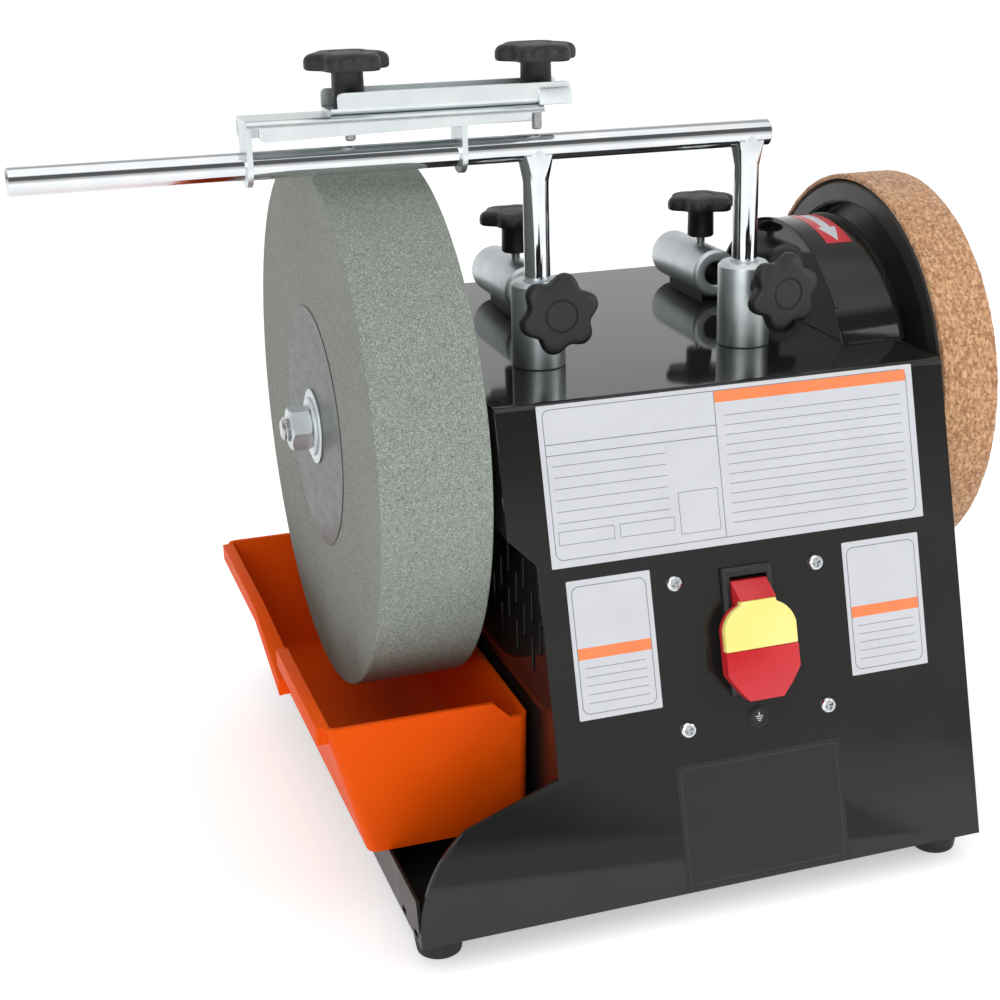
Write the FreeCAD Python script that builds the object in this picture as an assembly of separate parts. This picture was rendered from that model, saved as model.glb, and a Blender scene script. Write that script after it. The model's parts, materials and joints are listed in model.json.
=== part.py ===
import FreeCAD, Part

import math
import os

# Wet grinding sharpener, in millimetres.
# +X runs along the spindle towards the strop wheel, +Y to the back, +Z up.
# The origin lies on the bench, under the spindle and midway along the base.

# Spindle and wheels
SPINDLE_DIA = 12.0
SPINDLE_HEIGHT = 200.0
STONE_DIA = 250.0
STONE_WIDTH = 50.0
STONE_TO_HOUSING = 5.0
FOIL_DIA = 115.0
FOIL_THICKNESS = 0.5
FLANGE_DIA = 36.0
FLANGE_THICKNESS = 2.5
INNER_FLANGE_THICKNESS = 3.0
NUT_ACROSS_FLATS = 19.0
NUT_HEIGHT = 10.0
NUT_FACE_INSET = 0.3
NUT_BEVEL_LEAN = 0.6
THREAD_BEYOND_NUT = 3.5
STROP_DIA = 200.0
STROP_WIDTH = 30.0
STROP_TO_HOUSING = 11.0
LEATHER_THICKNESS = 2.5
STROP_RIM = 12.0
STROP_WEB = 10.0
STROP_HUB_DIA = 52.0

# Housing of bent sheet
SHEET = 1.5
BEND_RADIUS = 4.0
HOUSING_WIDTH = 218.5
HOUSING_ABOVE_SPINDLE = 33.0
BASE_BOTTOM = 14.0
BASE_WIDTH = 276.0
BASE_DEPTH = 344.0
TOP_FRONT = -112.0
TOP_BACK = 130.0
WAIST_INSET = 12.0
WAIST_BELOW_BUSH = 3.0
WAIST_DROP = 12.0
WING_ROOT = 74.5
WING_SHOULDER = 60.5
WING_SHOULDER_INSET = 25.0
WING_BULGE_INSET = 8.5
WING_BULGE = 44.0
TRAY_LIP = 20.0
LIP_NOTCH_WIDTH = 6.0
LIP_NOTCH_HEIGHT = 3.0
LIP_NOTCH_FROM_FRONT = 29.0
LIP_NOTCH_SPACING = 20.0

# Vent slots in the recessed left wall
VENT_WIDTH = 4.0
VENT_HEIGHT = 15.0
VENT_ROW_PITCH = 23.0
VENT_COLUMN_PITCH = 11.0
VENT_COLUMNS = 8
VENT_BELOW_WAIST = 3.0
VENT_FRONT_INSET = 38.0

# Half-round cover over the drive wheel
DRUM_RADIUS = 80.5
DRUM_WIDTH = 34.0
DRUM_OVERHANG = 3.0
DRUM_LIP = 3.0
DRUM_SLOT_MARGIN = 2.0

# Feet
FOOT_TOP_DIA = 24.0
FOOT_BOTTOM_DIA = 20.0
FOOT_INSET_X = 13.0
FOOT_INSET_Y = 20.0
FOOT_RECESS_DIA = 12.0
FOOT_RECESS_DEPTH = 6.0
FOOT_SCREW_DIA = 5.0
FOOT_SCREW_HEAD_DIA = 9.0
FOOT_SCREW_HEAD = 3.0
FOOT_SCREW_ABOVE_FLOOR = 4.0

# Tool support
BAR_DIA = 12.0
BAR_LEFT_REACH = 227.7
BAR_RIGHT_REACH = 11.0
BAR_CHAMFER = 1.0
BAR_TO_STONE = 10.7
POST_SPACING = 104.1
POST_Y = -49.0
POST_BELOW_TOP = 28.0
POST_NECK_DIA = 17.0
POST_NECK_HEIGHT = 9.0
SLIDE_CLEARANCE = 0.08
SOCKET_DIA = 25.0
SOCKET_HEIGHT = 40.0
SOCKET_CHAMFER = 2.0
SOCKET_KNOB_HEIGHT = 31.5
LEFT_KNOB_TURN = -3.0
RIGHT_KNOB_TURN = 7.0
SLEEVE_OFFSET_X = 23.7
SLEEVE_TO_DRUM = 5.0
SLEEVE_FRONT = 35.0
SLEEVE_LENGTH = 60.0
SLEEVE_GAP = 1.9
SLEEVE_CHAMFER = 1.2
SLEEVE_KNOB_FROM_FRONT = 21.0
PAD_WIDTH = 9.0
PAD_END_INSET = 8.0

# Star knobs
KNOB_DIA = 37.0
KNOB_LOBES = 6
KNOB_LOBE_RADIUS = 6.0
KNOB_SCALLOP_RADIUS = 7.0
KNOB_HEAD = 7.5
KNOB_EDGE = 3.0
KNOB_HUB_DIA = 14.0
KNOB_HUB = 14.5
JIG_KNOB_HUB = 16.0
KNOB_CAP_DIA = 15.5
KNOB_CAP_GROOVE = 0.6
KNOB_STUD_DIA = 5.0
KNOB_STUD_SHOWING = 4.0
KNOB_STUD_GRIP = 8.0
STUD_CLEARANCE = 0.06
STUD_TO_POST = 0.4

# Square-edge jig on the support bar
JIG_LEFT_OF_STONE = 33.1
JIG_LENGTH = 134.9
JIG_WIDTH = 26.0
JIG_SHEET = 2.0
JIG_BEND = 3.0
JIG_FLANGE = 10.0
JIG_ABOVE_BAR = 20.0
EAR_THICKNESS = 2.5
EAR_WIDTH = 18.0
SECOND_EAR_OFFSET = 94.1
JIG_FLANGE_LEFT_INSET = 5.0
JIG_FLANGE_RIGHT_INSET = 6.0
CLAMP_LEFT_OFFSET = 36.6
CLAMP_LENGTH = 115.0
CLAMP_FLANGE_LEFT_INSET = 3.0
CLAMP_FLANGE_RIGHT_INSET = 21.0
CLAMP_WIDTH = 22.0
CLAMP_HEIGHT = 9.5
CLAMP_SHEET = 2.0
CLAMP_BEND = 3.0
JIG_STUD_OFFSET = 46.6
JIG_STUD_SPACING = 84.7
JIG_STUD_BELOW = 12.0
JIG_HOLE_CLEARANCE = 0.3

# Water trough
TROUGH_WALL = 2.5
TROUGH_RIM = 101.0
TROUGH_LIP = 3.0
TROUGH_LIP_THICKNESS = 1.8
TROUGH_SKIRT = 8.5
TROUGH_FRONT = -125.0
TROUGH_BACK = 124.0
TROUGH_TO_WALL = 3.0
TROUGH_LEFT_OF_STONE = 29.0
TROUGH_LEFT_DRAFT = 17.5
TROUGH_END_DRAFT = 6.0
TROUGH_CORNER = 5.0
TROUGH_RIGHT_RIM = 92.5
TROUGH_RIM_SLOPE_START = 17.0
TROUGH_RIM_SLOPE_END = 8.5
NOTCH_BACK = 26.0
NOTCH_FRONT = -31.0
NOTCH_DEPTH = 16.0
LEDGE_REACH = 12.0
LEDGE_LENGTH = 120.0
LEDGE_DROP = 14.0

# Drive
TYRE_DIA = 150.0
TYRE_THICKNESS = 4.0
DRIVE_WIDTH = 18.0
DRIVE_RIM = 5.0
DRIVE_WEB = 6.0
DRIVE_HUB_DIA = 36.0
DRIVE_TO_END = 1.5
ROLLER_DIA = 9.6
ROLLER_CLEARANCE = 0.05
MOTOR_ANGLE = 30.0
MOTOR_DIA = 96.0
MOTOR_LENGTH = 125.0
MOTOR_TO_DRIVE = 28.0
MOTOR_END_DIA = 60.0
MOTOR_END = 8.0
MOUNT_PLATE = 3.0
MOUNT_INSET = 22.0
MOUNT_DEPTH = 80.0
CAPACITOR_DIA = 36.0
CAPACITOR_HEIGHT = 75.0
CAPACITOR_X = 90.0
CAPACITOR_Y = -60.0
BUSH_DIA = 24.0
BUSH_FLANGE_DIA = 38.0
BUSH_FLANGE = 3.0
BUSH_PROUD = 1.0
LEFT_BUSH_LENGTH = 24.0
RIGHT_BUSH_INSIDE = 4.0
COLLAR_DIA = 24.0
COLLAR_WIDTH = 8.0
RUNNING_CLEARANCE = 0.05
SEAT_CLEARANCE = 0.02
AXIAL_CLEARANCE = 0.5

# Switch and small things on the front panel, measured down the slope
SWITCH_FROM_LEFT = 109.5
SWITCH_TOP = 82.4
SWITCH_WIDTH = 25.0
SWITCH_HEIGHT = 58.0
BEZEL_PROUD = 3.0
BEZEL_BEVEL = 1.5
SWITCH_BOX_INSET = 1.5
SWITCH_BOX_DEPTH = 28.0
POCKET_FROM_TOP = 4.0
POCKET_HEIGHT = 22.0
POCKET_DEPTH = 8.0
PADDLE_PROUD = 12.0
PADDLE_BASE = 5.5
KEY_SEAT = 8.0
PADDLE_NECK_WIDTH = 17.6
PADDLE_WIDTH = 35.4
PADDLE_TAB_WIDTH = 16.6
PADDLE_ROOT_TOP = 88.5
KEY_TOP = 96.6
PADDLE_NECK_LENGTH = 2.0
SHOULDER = 109.0
SHOULDER_BULGE = 1.5
KEY_BOTTOM = 119.0
PADDLE_FULL_END = 129.5
PADDLE_OGEE = 136.5
PADDLE_TIP = 142.0
PIVOT_FROM_TOP = 97.0
PIVOT_DIA = 3.0
PIVOT_STUB = 1.5
ROOT_DEPTH = 4.0
ROOT_LOWER = 104.0
POCKET_SIDE_CLEARANCE = 0.4
KEY_TONGUE_WIDTH = 10.0
KEY_TONGUE_HEIGHT = 4.0
KEY_TONGUE_CENTRE = 112.0
KEY_CLEARANCE = 0.2
PANEL_SCREW_SPACING_X = 70.0
PANEL_SCREW_TOP = 85.9
PANEL_SCREW_BOTTOM = 152.5
PANEL_SCREW_HEAD_DIA = 7.5
PANEL_SCREW_HEAD = 2.4
PANEL_SCREW_DIA = 4.0
PANEL_SCREW_LENGTH = 8.0
EARTH_PLUG_FROM_TOP = 152.2
EARTH_PLUG_DIA = 10.0
EARTH_PLUG_PROUD = 1.2
EARTH_SHANK_DIA = 5.0
EARTH_SHANK = 6.0
GLAND_FROM_RIGHT = 43.0
GLAND_HEIGHT = 60.0
GLAND_DIA = 20.0
GLAND_BORE = 9.0
GLAND_PROUD = 4.0
GLAND_NECK_DIA = 14.0

# Values worked out from those above
V = FreeCAD.Vector
X_DIR = V(1, 0, 0)
Y_DIR = V(0, 1, 0)
Z_DIR = V(0, 0, 1)
FAR = 1000.0
SPINDLE_RADIUS = SPINDLE_DIA / 2
HOUSING_TOP = SPINDLE_HEIGHT + HOUSING_ABOVE_SPINDLE
HOUSING_RIGHT = BASE_WIDTH / 2
HOUSING_LEFT = HOUSING_RIGHT - HOUSING_WIDTH
WAIST_LEFT = HOUSING_LEFT + WAIST_INSET
WAIST_UPPER = SPINDLE_HEIGHT - BUSH_FLANGE_DIA / 2 - WAIST_BELOW_BUSH
WAIST_LOWER = WAIST_UPPER - WAIST_DROP
VENT_TOP = WAIST_LOWER - VENT_BELOW_WAIST
BASE_LEFT = -BASE_WIDTH / 2
BASE_FRONT = -BASE_DEPTH / 2
BASE_BACK = BASE_DEPTH / 2
FLOOR = BASE_BOTTOM + SHEET
UNDER_TOP = HOUSING_TOP - SHEET
STONE_RIGHT = HOUSING_LEFT - STONE_TO_HOUSING
STONE_LEFT = STONE_RIGHT - STONE_WIDTH
STROP_LEFT = HOUSING_RIGHT + STROP_TO_HOUSING
STROP_RIGHT = STROP_LEFT + STROP_WIDTH
BAR_RADIUS = BAR_DIA / 2
BAR_REACH = STONE_DIA / 2 + BAR_TO_STONE + BAR_RADIUS
BAR_Z = SPINDLE_HEIGHT + math.sqrt(BAR_REACH ** 2 - POST_Y ** 2)
KNOB_TURN = {"left": LEFT_KNOB_TURN, "right": RIGHT_KNOB_TURN}
SLEEVE_Z = HOUSING_TOP + SLEEVE_GAP + SOCKET_DIA / 2
SOCKET_BORE_RADIUS = BAR_RADIUS + SLIDE_CLEARANCE
TRAY_LIP_TOP = BASE_BOTTOM + TRAY_LIP
DRUM_LEFT = HOUSING_RIGHT + DRUM_OVERHANG - DRUM_WIDTH
POST_RIGHT_X = DRUM_LEFT - SLEEVE_TO_DRUM - SOCKET_DIA / 2 - SLEEVE_OFFSET_X
POST_X = {"left": POST_RIGHT_X - POST_SPACING, "right": POST_RIGHT_X}
SWITCH_X = HOUSING_LEFT + SWITCH_FROM_LEFT
GLAND_X = HOUSING_RIGHT - GLAND_FROM_RIGHT
DRIVE_RIGHT = HOUSING_RIGHT - SHEET - RIGHT_BUSH_INSIDE - DRIVE_TO_END
DRIVE_LEFT = DRIVE_RIGHT - DRIVE_WIDTH
MOTOR_REACH = TYRE_DIA / 2 + ROLLER_DIA / 2 + ROLLER_CLEARANCE
MOTOR_Y = MOTOR_REACH * math.sin(math.radians(MOTOR_ANGLE))
MOTOR_Z = SPINDLE_HEIGHT - MOTOR_REACH * math.cos(math.radians(MOTOR_ANGLE))
MOTOR_RIGHT = DRIVE_LEFT - MOTOR_TO_DRIVE
MOTOR_LEFT = MOTOR_RIGHT - MOTOR_LENGTH
JIG_TOP = BAR_Z + JIG_ABOVE_BAR
JIG_LEFT = STONE_LEFT - JIG_LEFT_OF_STONE
JIG_STUD_LEFT_X = JIG_LEFT + JIG_STUD_OFFSET
JIG_STUD_X = {"left": JIG_STUD_LEFT_X, "right": JIG_STUD_LEFT_X + JIG_STUD_SPACING}


def save(name, shape):
    shape.exportStep("parts/" + name + ".step")


def compound(shapes):
    return Part.makeCompound(list(shapes))


def box(low, high):
    size = V(*high) - V(*low)
    return Part.makeBox(size.x, size.y, size.z, V(*low))


def cylinder(radius, start, end):
    start = V(*start)
    along = V(*end) - start
    return Part.makeCylinder(radius, along.Length, start, along)


def ring_x(outer_radius, inner_radius, left, right, y=0.0, z=SPINDLE_HEIGHT):
    outer = cylinder(outer_radius, (left, y, z), (right, y, z))
    return outer.cut(cylinder(inner_radius, (left - 1, y, z), (right + 1, y, z)))


def face(points):
    corners = [V(*point) for point in points]
    return Part.Face(Part.makePolygon(corners + corners[:1]))


def line(start, end):
    return Part.LineSegment(V(*start), V(*end)).toShape()


def arc(start, middle, end):
    return Part.Arc(V(*start), V(*middle), V(*end)).toShape()


def revolve(points, centre=V(0, 0, 0), axis=Z_DIR):
    return face(points).revolve(centre, axis, 360)


def chamfered_pin(radius, start, end, chamfer):
    """A round bar along X with a chamfer at its start."""
    length = end[0] - start[0]
    points = [(0, 0, 0), (0, 0, radius - chamfer), (chamfer, 0, radius), (length, 0, radius), (length, 0, 0)]
    pin = revolve(points, axis=X_DIR)
    pin.translate(V(*start))
    return pin


def tube_along(direction, outer_radius, bore_radius, length, chamfer):
    """A tube from the origin along a direction, chamfered outside at both ends."""
    inner_chamfer = chamfer / 2
    points = [
        (bore_radius + inner_chamfer, 0, 0),
        (outer_radius - chamfer, 0, 0),
        (outer_radius, 0, chamfer),
        (outer_radius, 0, length - chamfer),
        (outer_radius - chamfer, 0, length),
        (bore_radius + inner_chamfer, 0, length),
        (bore_radius, 0, length - inner_chamfer),
        (bore_radius, 0, inner_chamfer),
    ]
    tube = revolve(points)
    tube.Placement = FreeCAD.Placement(V(0, 0, 0), FreeCAD.Rotation(Z_DIR, direction))
    return tube


# The bent sheet: a trapezium seen from the side, with rounded upper corners


def side_profile(depth):
    """The housing seen along X, as a face, at a depth inside its outer skin."""
    rise = HOUSING_TOP - BASE_BOTTOM
    top = HOUSING_TOP - depth
    radius = BEND_RADIUS - depth
    edges = []
    corners = []
    for bottom_y, top_y, sign in ((BASE_FRONT, TOP_FRONT, 1), (BASE_BACK, TOP_BACK, -1)):
        run = sign * (top_y - bottom_y)
        slope = math.hypot(run, rise)
        shift = sign * depth * slope / rise
        turn = math.atan2(rise, run)
        tangent = radius * math.tan(turn / 2)
        corner_y = bottom_y + shift + sign * run * (top - BASE_BOTTOM) / rise
        low = (0, bottom_y + shift, BASE_BOTTOM)
        on_slope = (0, corner_y - sign * tangent * run / slope, top - tangent * rise / slope)
        on_top = (0, corner_y + sign * tangent, top)
        centre = (corner_y + sign * tangent, top - radius)
        half = turn / 2
        middle = (0, centre[0] - sign * radius * math.sin(half), centre[1] + radius * math.cos(half))
        edges.append(line(low, on_slope))
        edges.append(arc(on_slope, middle, on_top))
        corners.append((low, on_top))
    edges.append(line(corners[0][1], corners[1][1]))
    edges.append(line(corners[0][0], corners[1][0]))
    return Part.Face(Part.Wire(Part.__sortEdges__(edges)))


def bend_start(bottom_y, top_y, sign):
    """Where the flat of the top plate meets the bend."""
    turn = math.atan2(HOUSING_TOP - BASE_BOTTOM, sign * (top_y - bottom_y))
    return top_y + sign * BEND_RADIUS * math.tan(turn / 2)


def inside(left, right, low=FLOOR, high=UNDER_TOP):
    """The space inside the bent sheet between two stations along X."""
    room = side_profile(SHEET).extrude(V(right - left, 0, 0))
    room.translate(V(left, 0, 0))
    return room.common(box((left, -FAR, low), (right, FAR, high)))


def bent_sheet():
    skin = side_profile(0).extrude(V(BASE_WIDTH, 0, 0))
    hollow = side_profile(SHEET).extrude(V(BASE_WIDTH, 0, 0))
    sheet = skin.cut(hollow)
    sheet.translate(V(BASE_LEFT, 0, 0))
    return sheet


def left_edge_waste():
    """What is cut from the bent sheet to leave its stepped left edge and the low wing."""
    shoulder_x = BASE_LEFT + WING_SHOULDER_INSET
    bulge_x = BASE_LEFT + WING_BULGE_INSET
    outer_x = BASE_LEFT - FAR
    edges = [
        line((HOUSING_LEFT, 0, FAR), (HOUSING_LEFT, 0, WAIST_UPPER)),
        line((HOUSING_LEFT, 0, WAIST_UPPER), (WAIST_LEFT, 0, WAIST_LOWER)),
        line((WAIST_LEFT, 0, WAIST_LOWER), (WAIST_LEFT, 0, WING_ROOT)),
        line((WAIST_LEFT, 0, WING_ROOT), (shoulder_x, 0, WING_SHOULDER)),
        arc((shoulder_x, 0, WING_SHOULDER), (bulge_x, 0, WING_BULGE), (BASE_LEFT, 0, BASE_BOTTOM)),
        line((BASE_LEFT, 0, BASE_BOTTOM), (outer_x, 0, BASE_BOTTOM)),
        line((outer_x, 0, BASE_BOTTOM), (outer_x, 0, FAR)),
        line((outer_x, 0, FAR), (HOUSING_LEFT, 0, FAR)),
    ]
    waste = Part.Face(Part.Wire(edges)).extrude(V(0, 2 * FAR, 0))
    waste.translate(V(0, -FAR, 0))
    return waste


# Places on the sloping panels


def panel_placement(top_y, bottom_y):
    """A panel's own frame: X along the spindle, Y up the slope, Z out of the panel."""
    rise = HOUSING_TOP - BASE_BOTTOM
    lean = math.degrees(math.atan2(rise, top_y - bottom_y))
    return FreeCAD.Placement(V(0, top_y, HOUSING_TOP), FreeCAD.Rotation(X_DIR, lean))


def on_front(shape):
    placed = shape.copy()
    placed.Placement = panel_placement(TOP_FRONT, BASE_FRONT).multiply(placed.Placement)
    return placed


def on_back(shape):
    """The back panel's frame looks out to +Y, so its X runs the other way."""
    rise = HOUSING_TOP - BASE_BOTTOM
    lean = math.degrees(math.atan2(rise, BASE_BACK - TOP_BACK))
    turned = FreeCAD.Rotation(Z_DIR, 180).multiply(FreeCAD.Rotation(X_DIR, lean))
    placed = shape.copy()
    placed.Placement = FreeCAD.Placement(V(0, TOP_BACK, HOUSING_TOP), turned).multiply(placed.Placement)
    return placed


def switch_box_cut(clearance):
    half = SWITCH_WIDTH / 2 - SWITCH_BOX_INSET + clearance
    top = -SWITCH_TOP - SWITCH_BOX_INSET + clearance
    bottom = -SWITCH_TOP - SWITCH_HEIGHT + SWITCH_BOX_INSET - clearance
    return box((SWITCH_X - half, bottom, -SWITCH_BOX_DEPTH), (SWITCH_X + half, top, 0))


def panel_screw_places():
    for x in (SWITCH_X - PANEL_SCREW_SPACING_X / 2, SWITCH_X + PANEL_SCREW_SPACING_X / 2):
        for down in (PANEL_SCREW_TOP, PANEL_SCREW_BOTTOM):
            yield x, -down


# Housing


def front_panel(sheet):
    flat = bend_start(BASE_FRONT, TOP_FRONT, 1)
    panel = sheet.common(box((-FAR, -FAR, -FAR), (FAR, flat, FAR))).cut(left_edge_waste())
    holes = [switch_box_cut(SEAT_CLEARANCE)]
    for x, up in panel_screw_places():
        holes.append(cylinder(PANEL_SCREW_DIA / 2 + SEAT_CLEARANCE, (x, up, -2 * SHEET), (x, up, SHEET)))
    plug = (SWITCH_X, -EARTH_PLUG_FROM_TOP)
    holes.append(cylinder(EARTH_SHANK_DIA / 2 + SEAT_CLEARANCE, (*plug, -2 * SHEET), (*plug, SHEET)))
    return panel.cut(on_front(compound(holes)))


def gland_place():
    down = (HOUSING_TOP - GLAND_HEIGHT) * math.hypot(HOUSING_TOP - BASE_BOTTOM, BASE_BACK - TOP_BACK)
    return -GLAND_X, -down / (HOUSING_TOP - BASE_BOTTOM)


def back_panel(sheet):
    flat = bend_start(BASE_BACK, TOP_BACK, -1)
    panel = sheet.common(box((-FAR, flat, -FAR), (FAR, FAR, FAR))).cut(left_edge_waste())
    x, up = gland_place()
    hole = cylinder(GLAND_NECK_DIA / 2 + SEAT_CLEARANCE, (x, up, -2 * SHEET), (x, up, SHEET))
    return panel.cut(on_back(hole))


def cord_gland():
    x, up = gland_place()
    head = Part.makeCone(GLAND_DIA / 2, GLAND_DIA / 2 - GLAND_PROUD / 2, GLAND_PROUD)
    neck = cylinder(GLAND_NECK_DIA / 2, (0, 0, -GLAND_PROUD), (0, 0, 0))
    bore = cylinder(GLAND_BORE / 2, (0, 0, -FAR), (0, 0, FAR))
    gland = head.fuse(neck).cut(bore).removeSplitter()
    gland.translate(V(x, up, 0))
    return on_back(gland)


def top_plate(sheet):
    front = bend_start(BASE_FRONT, TOP_FRONT, 1)
    back = bend_start(BASE_BACK, TOP_BACK, -1)
    plate = sheet.common(box((HOUSING_LEFT, front, 0), (FAR, back, FAR)))
    wheel_rise = HOUSING_TOP - SPINDLE_HEIGHT
    half_slot = math.sqrt((TYRE_DIA / 2) ** 2 - wheel_rise ** 2) + DRUM_SLOT_MARGIN
    slot_left = DRIVE_LEFT - DRUM_SLOT_MARGIN
    slot_right = DRIVE_RIGHT + DRUM_SLOT_MARGIN
    plate = plate.cut(box((slot_left, -half_slot, 0), (slot_right, half_slot, FAR)))
    for x in POST_X.values():
        plate = plate.cut(cylinder(SOCKET_BORE_RADIUS, (x, POST_Y, 0), (x, POST_Y, FAR)))
    return plate


def base_tray():
    floor = inside(BASE_LEFT, HOUSING_RIGHT, BASE_BOTTOM, FLOOR)
    lip = inside(BASE_LEFT, BASE_LEFT + SHEET, BASE_BOTTOM, TRAY_LIP_TOP)
    tray = floor.fuse(lip).removeSplitter()
    first = BASE_FRONT + LIP_NOTCH_FROM_FRONT
    for y in (first, first - LIP_NOTCH_SPACING):
        low = (BASE_LEFT - 1, y - LIP_NOTCH_WIDTH / 2, FLOOR)
        high = (BASE_LEFT + SHEET, y + LIP_NOTCH_WIDTH / 2, FLOOR + LIP_NOTCH_HEIGHT)
        tray = tray.cut(box(low, high))
    for x, y in foot_places():
        tray = tray.cut(cylinder(FOOT_SCREW_DIA / 2 + SEAT_CLEARANCE, (x, y, 0), (x, y, FLOOR + 1)))
    return tray


def left_wall():
    outline = [
        (HOUSING_LEFT, -FAR, UNDER_TOP),
        (HOUSING_LEFT, -FAR, WAIST_UPPER),
        (WAIST_LEFT, -FAR, WAIST_LOWER),
        (WAIST_LEFT, -FAR, FLOOR),
        (WAIST_LEFT + SHEET, -FAR, FLOOR),
        (WAIST_LEFT + SHEET, -FAR, WAIST_LOWER + SHEET / 2),
        (HOUSING_LEFT + SHEET, -FAR, WAIST_UPPER + SHEET / 2),
        (HOUSING_LEFT + SHEET, -FAR, UNDER_TOP),
    ]
    wall = face(outline).extrude(V(0, 2 * FAR, 0)).common(inside(HOUSING_LEFT, WAIST_LEFT + SHEET))
    bush_hole = BUSH_DIA / 2 + SEAT_CLEARANCE
    axis_left = (HOUSING_LEFT - 1, 0, SPINDLE_HEIGHT)
    wall = wall.cut(cylinder(bush_hole, axis_left, (WAIST_LEFT, 0, SPINDLE_HEIGHT)))
    return wall.cut(compound(vent_slots()))


def vent_slots():
    """Staggered upright slots towards the front and the back of the recessed wall."""
    for column in range(VENT_COLUMNS):
        from_middle = -BASE_FRONT - VENT_FRONT_INSET - column * VENT_COLUMN_PITCH
        drop = VENT_ROW_PITCH / 2 * (column % 2)
        for row in range(2):
            top = VENT_TOP - drop - row * VENT_ROW_PITCH
            for y in (-from_middle, from_middle):
                low = (WAIST_LEFT - 1, y - VENT_WIDTH / 2, top - VENT_HEIGHT)
                high = (WAIST_LEFT + SHEET + 1, y + VENT_WIDTH / 2, top)
                yield box(low, high)


def right_wall():
    wall = inside(HOUSING_RIGHT - SHEET, HOUSING_RIGHT)
    return wall.cut(cylinder(BUSH_DIA / 2 + SEAT_CLEARANCE, (0, 0, SPINDLE_HEIGHT), (FAR, 0, SPINDLE_HEIGHT)))


def drum_cover():
    right = DRUM_LEFT + DRUM_WIDTH
    cover = ring_x(DRUM_RADIUS, DRUM_RADIUS - SHEET, DRUM_LEFT, right)
    inner = DRUM_RADIUS - SHEET / 2
    for left in (DRUM_LEFT + DRUM_LIP, HOUSING_RIGHT - SHEET):
        end = cylinder(inner, (left, 0, SPINDLE_HEIGHT), (left + SHEET, 0, SPINDLE_HEIGHT))
        cover = cover.fuse(end)
    return cover.common(box((-FAR, -FAR, HOUSING_TOP), (FAR, FAR, FAR))).removeSplitter()


def trough_ledge():
    """A bent strip on the recessed wall that carries the trough's inner edge."""
    half = LEDGE_LENGTH / 2
    shelf = box((WAIST_LEFT - LEDGE_REACH, -half, TRAY_LIP_TOP - SHEET), (WAIST_LEFT, half, TRAY_LIP_TOP))
    web = box((WAIST_LEFT - SHEET, -half, TRAY_LIP_TOP - LEDGE_DROP), (WAIST_LEFT, half, TRAY_LIP_TOP))
    return shelf.fuse(web).removeSplitter()


# Feet


def foot_places():
    x = BASE_WIDTH / 2 - FOOT_INSET_X
    y = BASE_DEPTH / 2 - FOOT_INSET_Y
    return [(-x, -y), (x, -y), (-x, y), (x, y)]


def rubber_feet():
    foot = Part.makeCone(FOOT_BOTTOM_DIA / 2, FOOT_TOP_DIA / 2, BASE_BOTTOM)
    recess = cylinder(FOOT_RECESS_DIA / 2, (0, 0, -1), (0, 0, FOOT_RECESS_DEPTH))
    hole = cylinder(FOOT_SCREW_DIA / 2 + SEAT_CLEARANCE, (0, 0, -1), (0, 0, BASE_BOTTOM + 1))
    foot = foot.cut(recess).cut(hole)
    return compound(foot.translated(V(x, y, 0)) for x, y in foot_places())


def foot_screws():
    head_bottom = FOOT_RECESS_DEPTH - FOOT_SCREW_HEAD
    head = cylinder(FOOT_SCREW_HEAD_DIA / 2, (0, 0, head_bottom), (0, 0, FOOT_RECESS_DEPTH))
    shank_top = FLOOR + FOOT_SCREW_ABOVE_FLOOR
    shank = cylinder(FOOT_SCREW_DIA / 2, (0, 0, head_bottom), (0, 0, shank_top))
    screw = head.fuse(shank).removeSplitter()
    return compound(screw.translated(V(x, y, 0)) for x, y in foot_places())


# Spindle, stone and strop wheel


def hex_nut(left):
    corner_radius = NUT_ACROSS_FLATS / math.sqrt(3)
    corners = []
    for step in range(6):
        angle = math.radians(60 * step)
        y = corner_radius * math.cos(angle)
        corners.append((left, y, SPINDLE_HEIGHT + corner_radius * math.sin(angle)))
    nut = face(corners).extrude(V(NUT_HEIGHT, 0, 0))
    flat = NUT_ACROSS_FLATS / 2 - NUT_FACE_INSET
    bevel = (corner_radius - flat) * NUT_BEVEL_LEAN
    points = [
        (0, 0, 0), (0, 0, flat), (bevel, 0, corner_radius),
        (NUT_HEIGHT - bevel, 0, corner_radius), (NUT_HEIGHT, 0, flat), (NUT_HEIGHT, 0, 0),
    ]
    rounded = revolve(points, axis=X_DIR)
    rounded.translate(V(left, 0, SPINDLE_HEIGHT))
    bore = cylinder(SPINDLE_RADIUS + SEAT_CLEARANCE, (-FAR, 0, SPINDLE_HEIGHT), (FAR, 0, SPINDLE_HEIGHT))
    return nut.common(rounded).cut(bore)


def on_spindle(radius, left, right):
    return ring_x(radius, SPINDLE_RADIUS + SEAT_CLEARANCE, left, right)


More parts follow.
